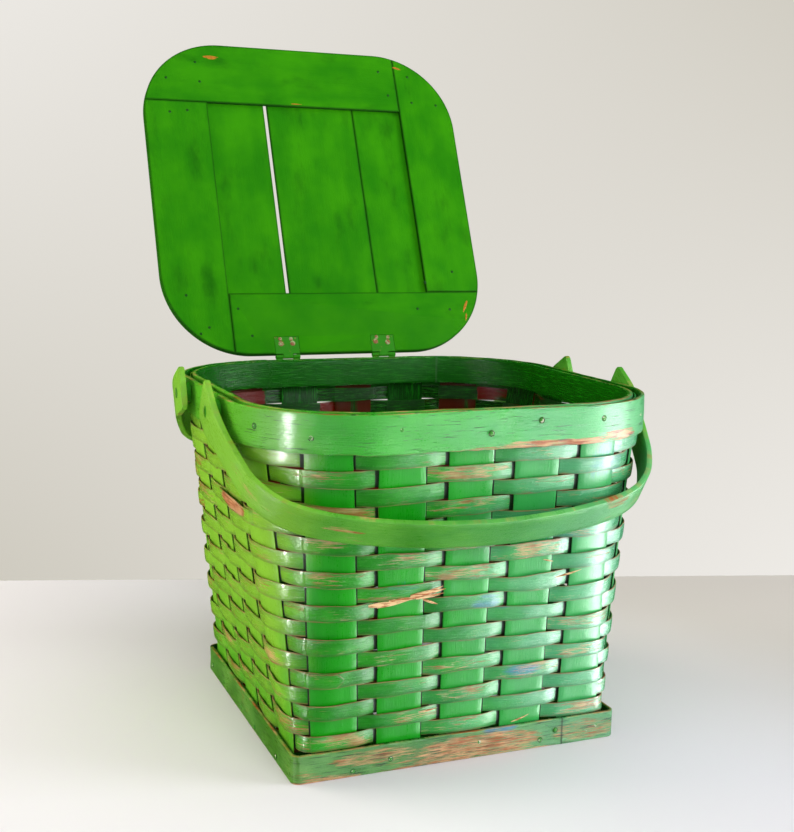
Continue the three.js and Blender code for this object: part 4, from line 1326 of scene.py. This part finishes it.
def add_area(name, azimuth, distance, height, size, power, colour, aim=120, lights=True, reflects=True):
    """A soft rectangular light. Azimuth is in degrees from the front towards the right.

    It looks at height "aim" above the middle. It lights matt surfaces, shows in glossy ones, or both."""
    data = bpy.data.lights.new(name, "AREA")
    data.shape = "RECTANGLE"
    data.size, data.size_y = size[0] * MM, size[1] * MM
    data.energy = power
    data.color = colour
    light = link(name, data)
    turn = math.radians(azimuth)
    place = Vector((math.sin(turn) * distance, -math.cos(turn) * distance, height))
    light.location = place * MM
    light.rotation_mode = "QUATERNION"
    light.rotation_quaternion = (Vector((0, 0, aim)) - place).to_track_quat("-Z", "Y")
    light.visible_camera = False
    light.visible_diffuse = lights
    light.visible_glossy = reflects


COOL, WARM, WHITE = (0.93, 0.985, 1.0), (1.0, 0.94, 0.76), (1.0, 1.0, 0.98)


def build_lights():
    """Daylight from a window at the front right, and soft light from the room.

    window_gap is a streak on the rim's left corner. The last two stand for the window's image in the
    glossy table. None of these three lights matt surfaces."""
    add_area("window", 62, 2000, 560, (900, 1000), 34, COOL)
    add_area("front_fill", 0, 2300, 900, (1800, 1400), 22, WHITE, reflects=False)
    add_area("ceiling", 0, 500, 2000, (1700, 1700), 17, WHITE, reflects=False)
    add_area("left_wall", -122, 1700, 540, (1300, 640), 31, WARM, reflects=False)
    add_area("window_gap", -70, 1000, 190, (24, 420), 12, WHITE, aim=200, lights=False)
    add_area("table_glow", 44, 2000, -700, (800, 1600), 9, COOL, aim=150, lights=False)
    add_area("table_glare", 68, 2000, -420, (800, 1600), 95, COOL, aim=150, lights=False)


# ---- the scene ----

weave_paint = painted_wood(
    "weave_paint", srgb(56, 172, 40), srgb(8, 120, 14), 0.35, right_sheen=0.65, left_light=0.82, scuffs=1.5, coat=0.36,
    inner=srgb(6, 62, 4), red=srgb(112, 14, 2), gloss=0.24, edge_shade=0.35)
stake_paint = painted_wood(
    "stake_paint", srgb(26, 168, 18), srgb(6, 146, 4), 0.16, right_sheen=0.4, left_light=0.8,
    inner=srgb(6, 60, 6), red=srgb(76, 24, 6), streaks=0.12, scuffs=0.2, bump=0.0002)
rim_paint = painted_wood(
    "rim_paint", srgb(52, 182, 34), srgb(26, 158, 18), 0.24, right_sheen=0.45, left_light=0.3,
    inner=srgb(8, 104, 4), red=srgb(6, 88, 2), scuffs=0.3, coat=0.35, cracks=1.3, bump=0.0009)
base_paint = painted_wood(
    "base_paint", srgb(96, 158, 72), srgb(26, 104, 26), 0.28, right_sheen=0.3, left_light=0.25,
    inner=srgb(8, 70, 6), red=srgb(8, 60, 6), scuffs=1.5, cracks=1.7, bump=0.0014, specular=0.3)
lid_paint = painted_wood(
    "lid_paint", srgb(52, 142, 0), srgb(32, 120, 0), 0.0, gloss=0.5, specular=0.05,
    streaks=0.12, scuffs=0.0, blotches=0.38, bump=0.0003, edge_shade=0.6)
handle_paint = painted_wood(
    "handle_paint", srgb(104, 182, 62), srgb(58, 140, 28), 0.14, right_sheen=0.4, left_light=0.5, streaks=0.5, scuffs=1.2,
    specular=0.35)
hinge_paint = painted_metal("hinge_paint", srgb(38, 128, 2), srgb(150, 110, 70))
nail_paint = painted_metal("nail_paint", srgb(50, 140, 30), srgb(215, 210, 190), 0.52)
# Dark green for painted shade round nail heads and in the lid's nail dents.
sunk_shade_paint = painted_metal("sunk_shade_paint", srgb(10, 70, 4), srgb(60, 90, 40))
screw_paint = painted_metal("screw_paint", srgb(150, 158, 112), srgb(134, 62, 34), 0.48)
splinter_wood = bare_wood()
chip_paint = painted_metal("chip_paint", srgb(176, 112, 22), srgb(120, 96, 10), 0.56)

add_camera()
build_room()
build_table()
build_lights()
build_stakes(stake_paint)
build_weavers(weave_paint)
build_bands(rim_paint, base_paint)
build_lid(lid_paint)
build_handle("handle_front", handle_paint, "front_handle", FRONT_PLACE, 71)
build_handle("handle_rear", handle_paint, "rear_handle", REAR_PLACE, 81)
build_nails(nail_paint, sunk_shade_paint, screw_paint)
build_weaver_lap(weave_paint)
build_bare_splint(weave_paint)
build_splinters(splinter_wood)
build_lid_chips(chip_paint)

for node_name, node_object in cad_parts.items():
    if node_name.startswith(("hinge", "rivet", "spacer")):
        node_object.data.materials.clear()
        node_object.data.materials.append(hinge_paint)

bpy.context.scene.view_settings.view_transform = "Standard"
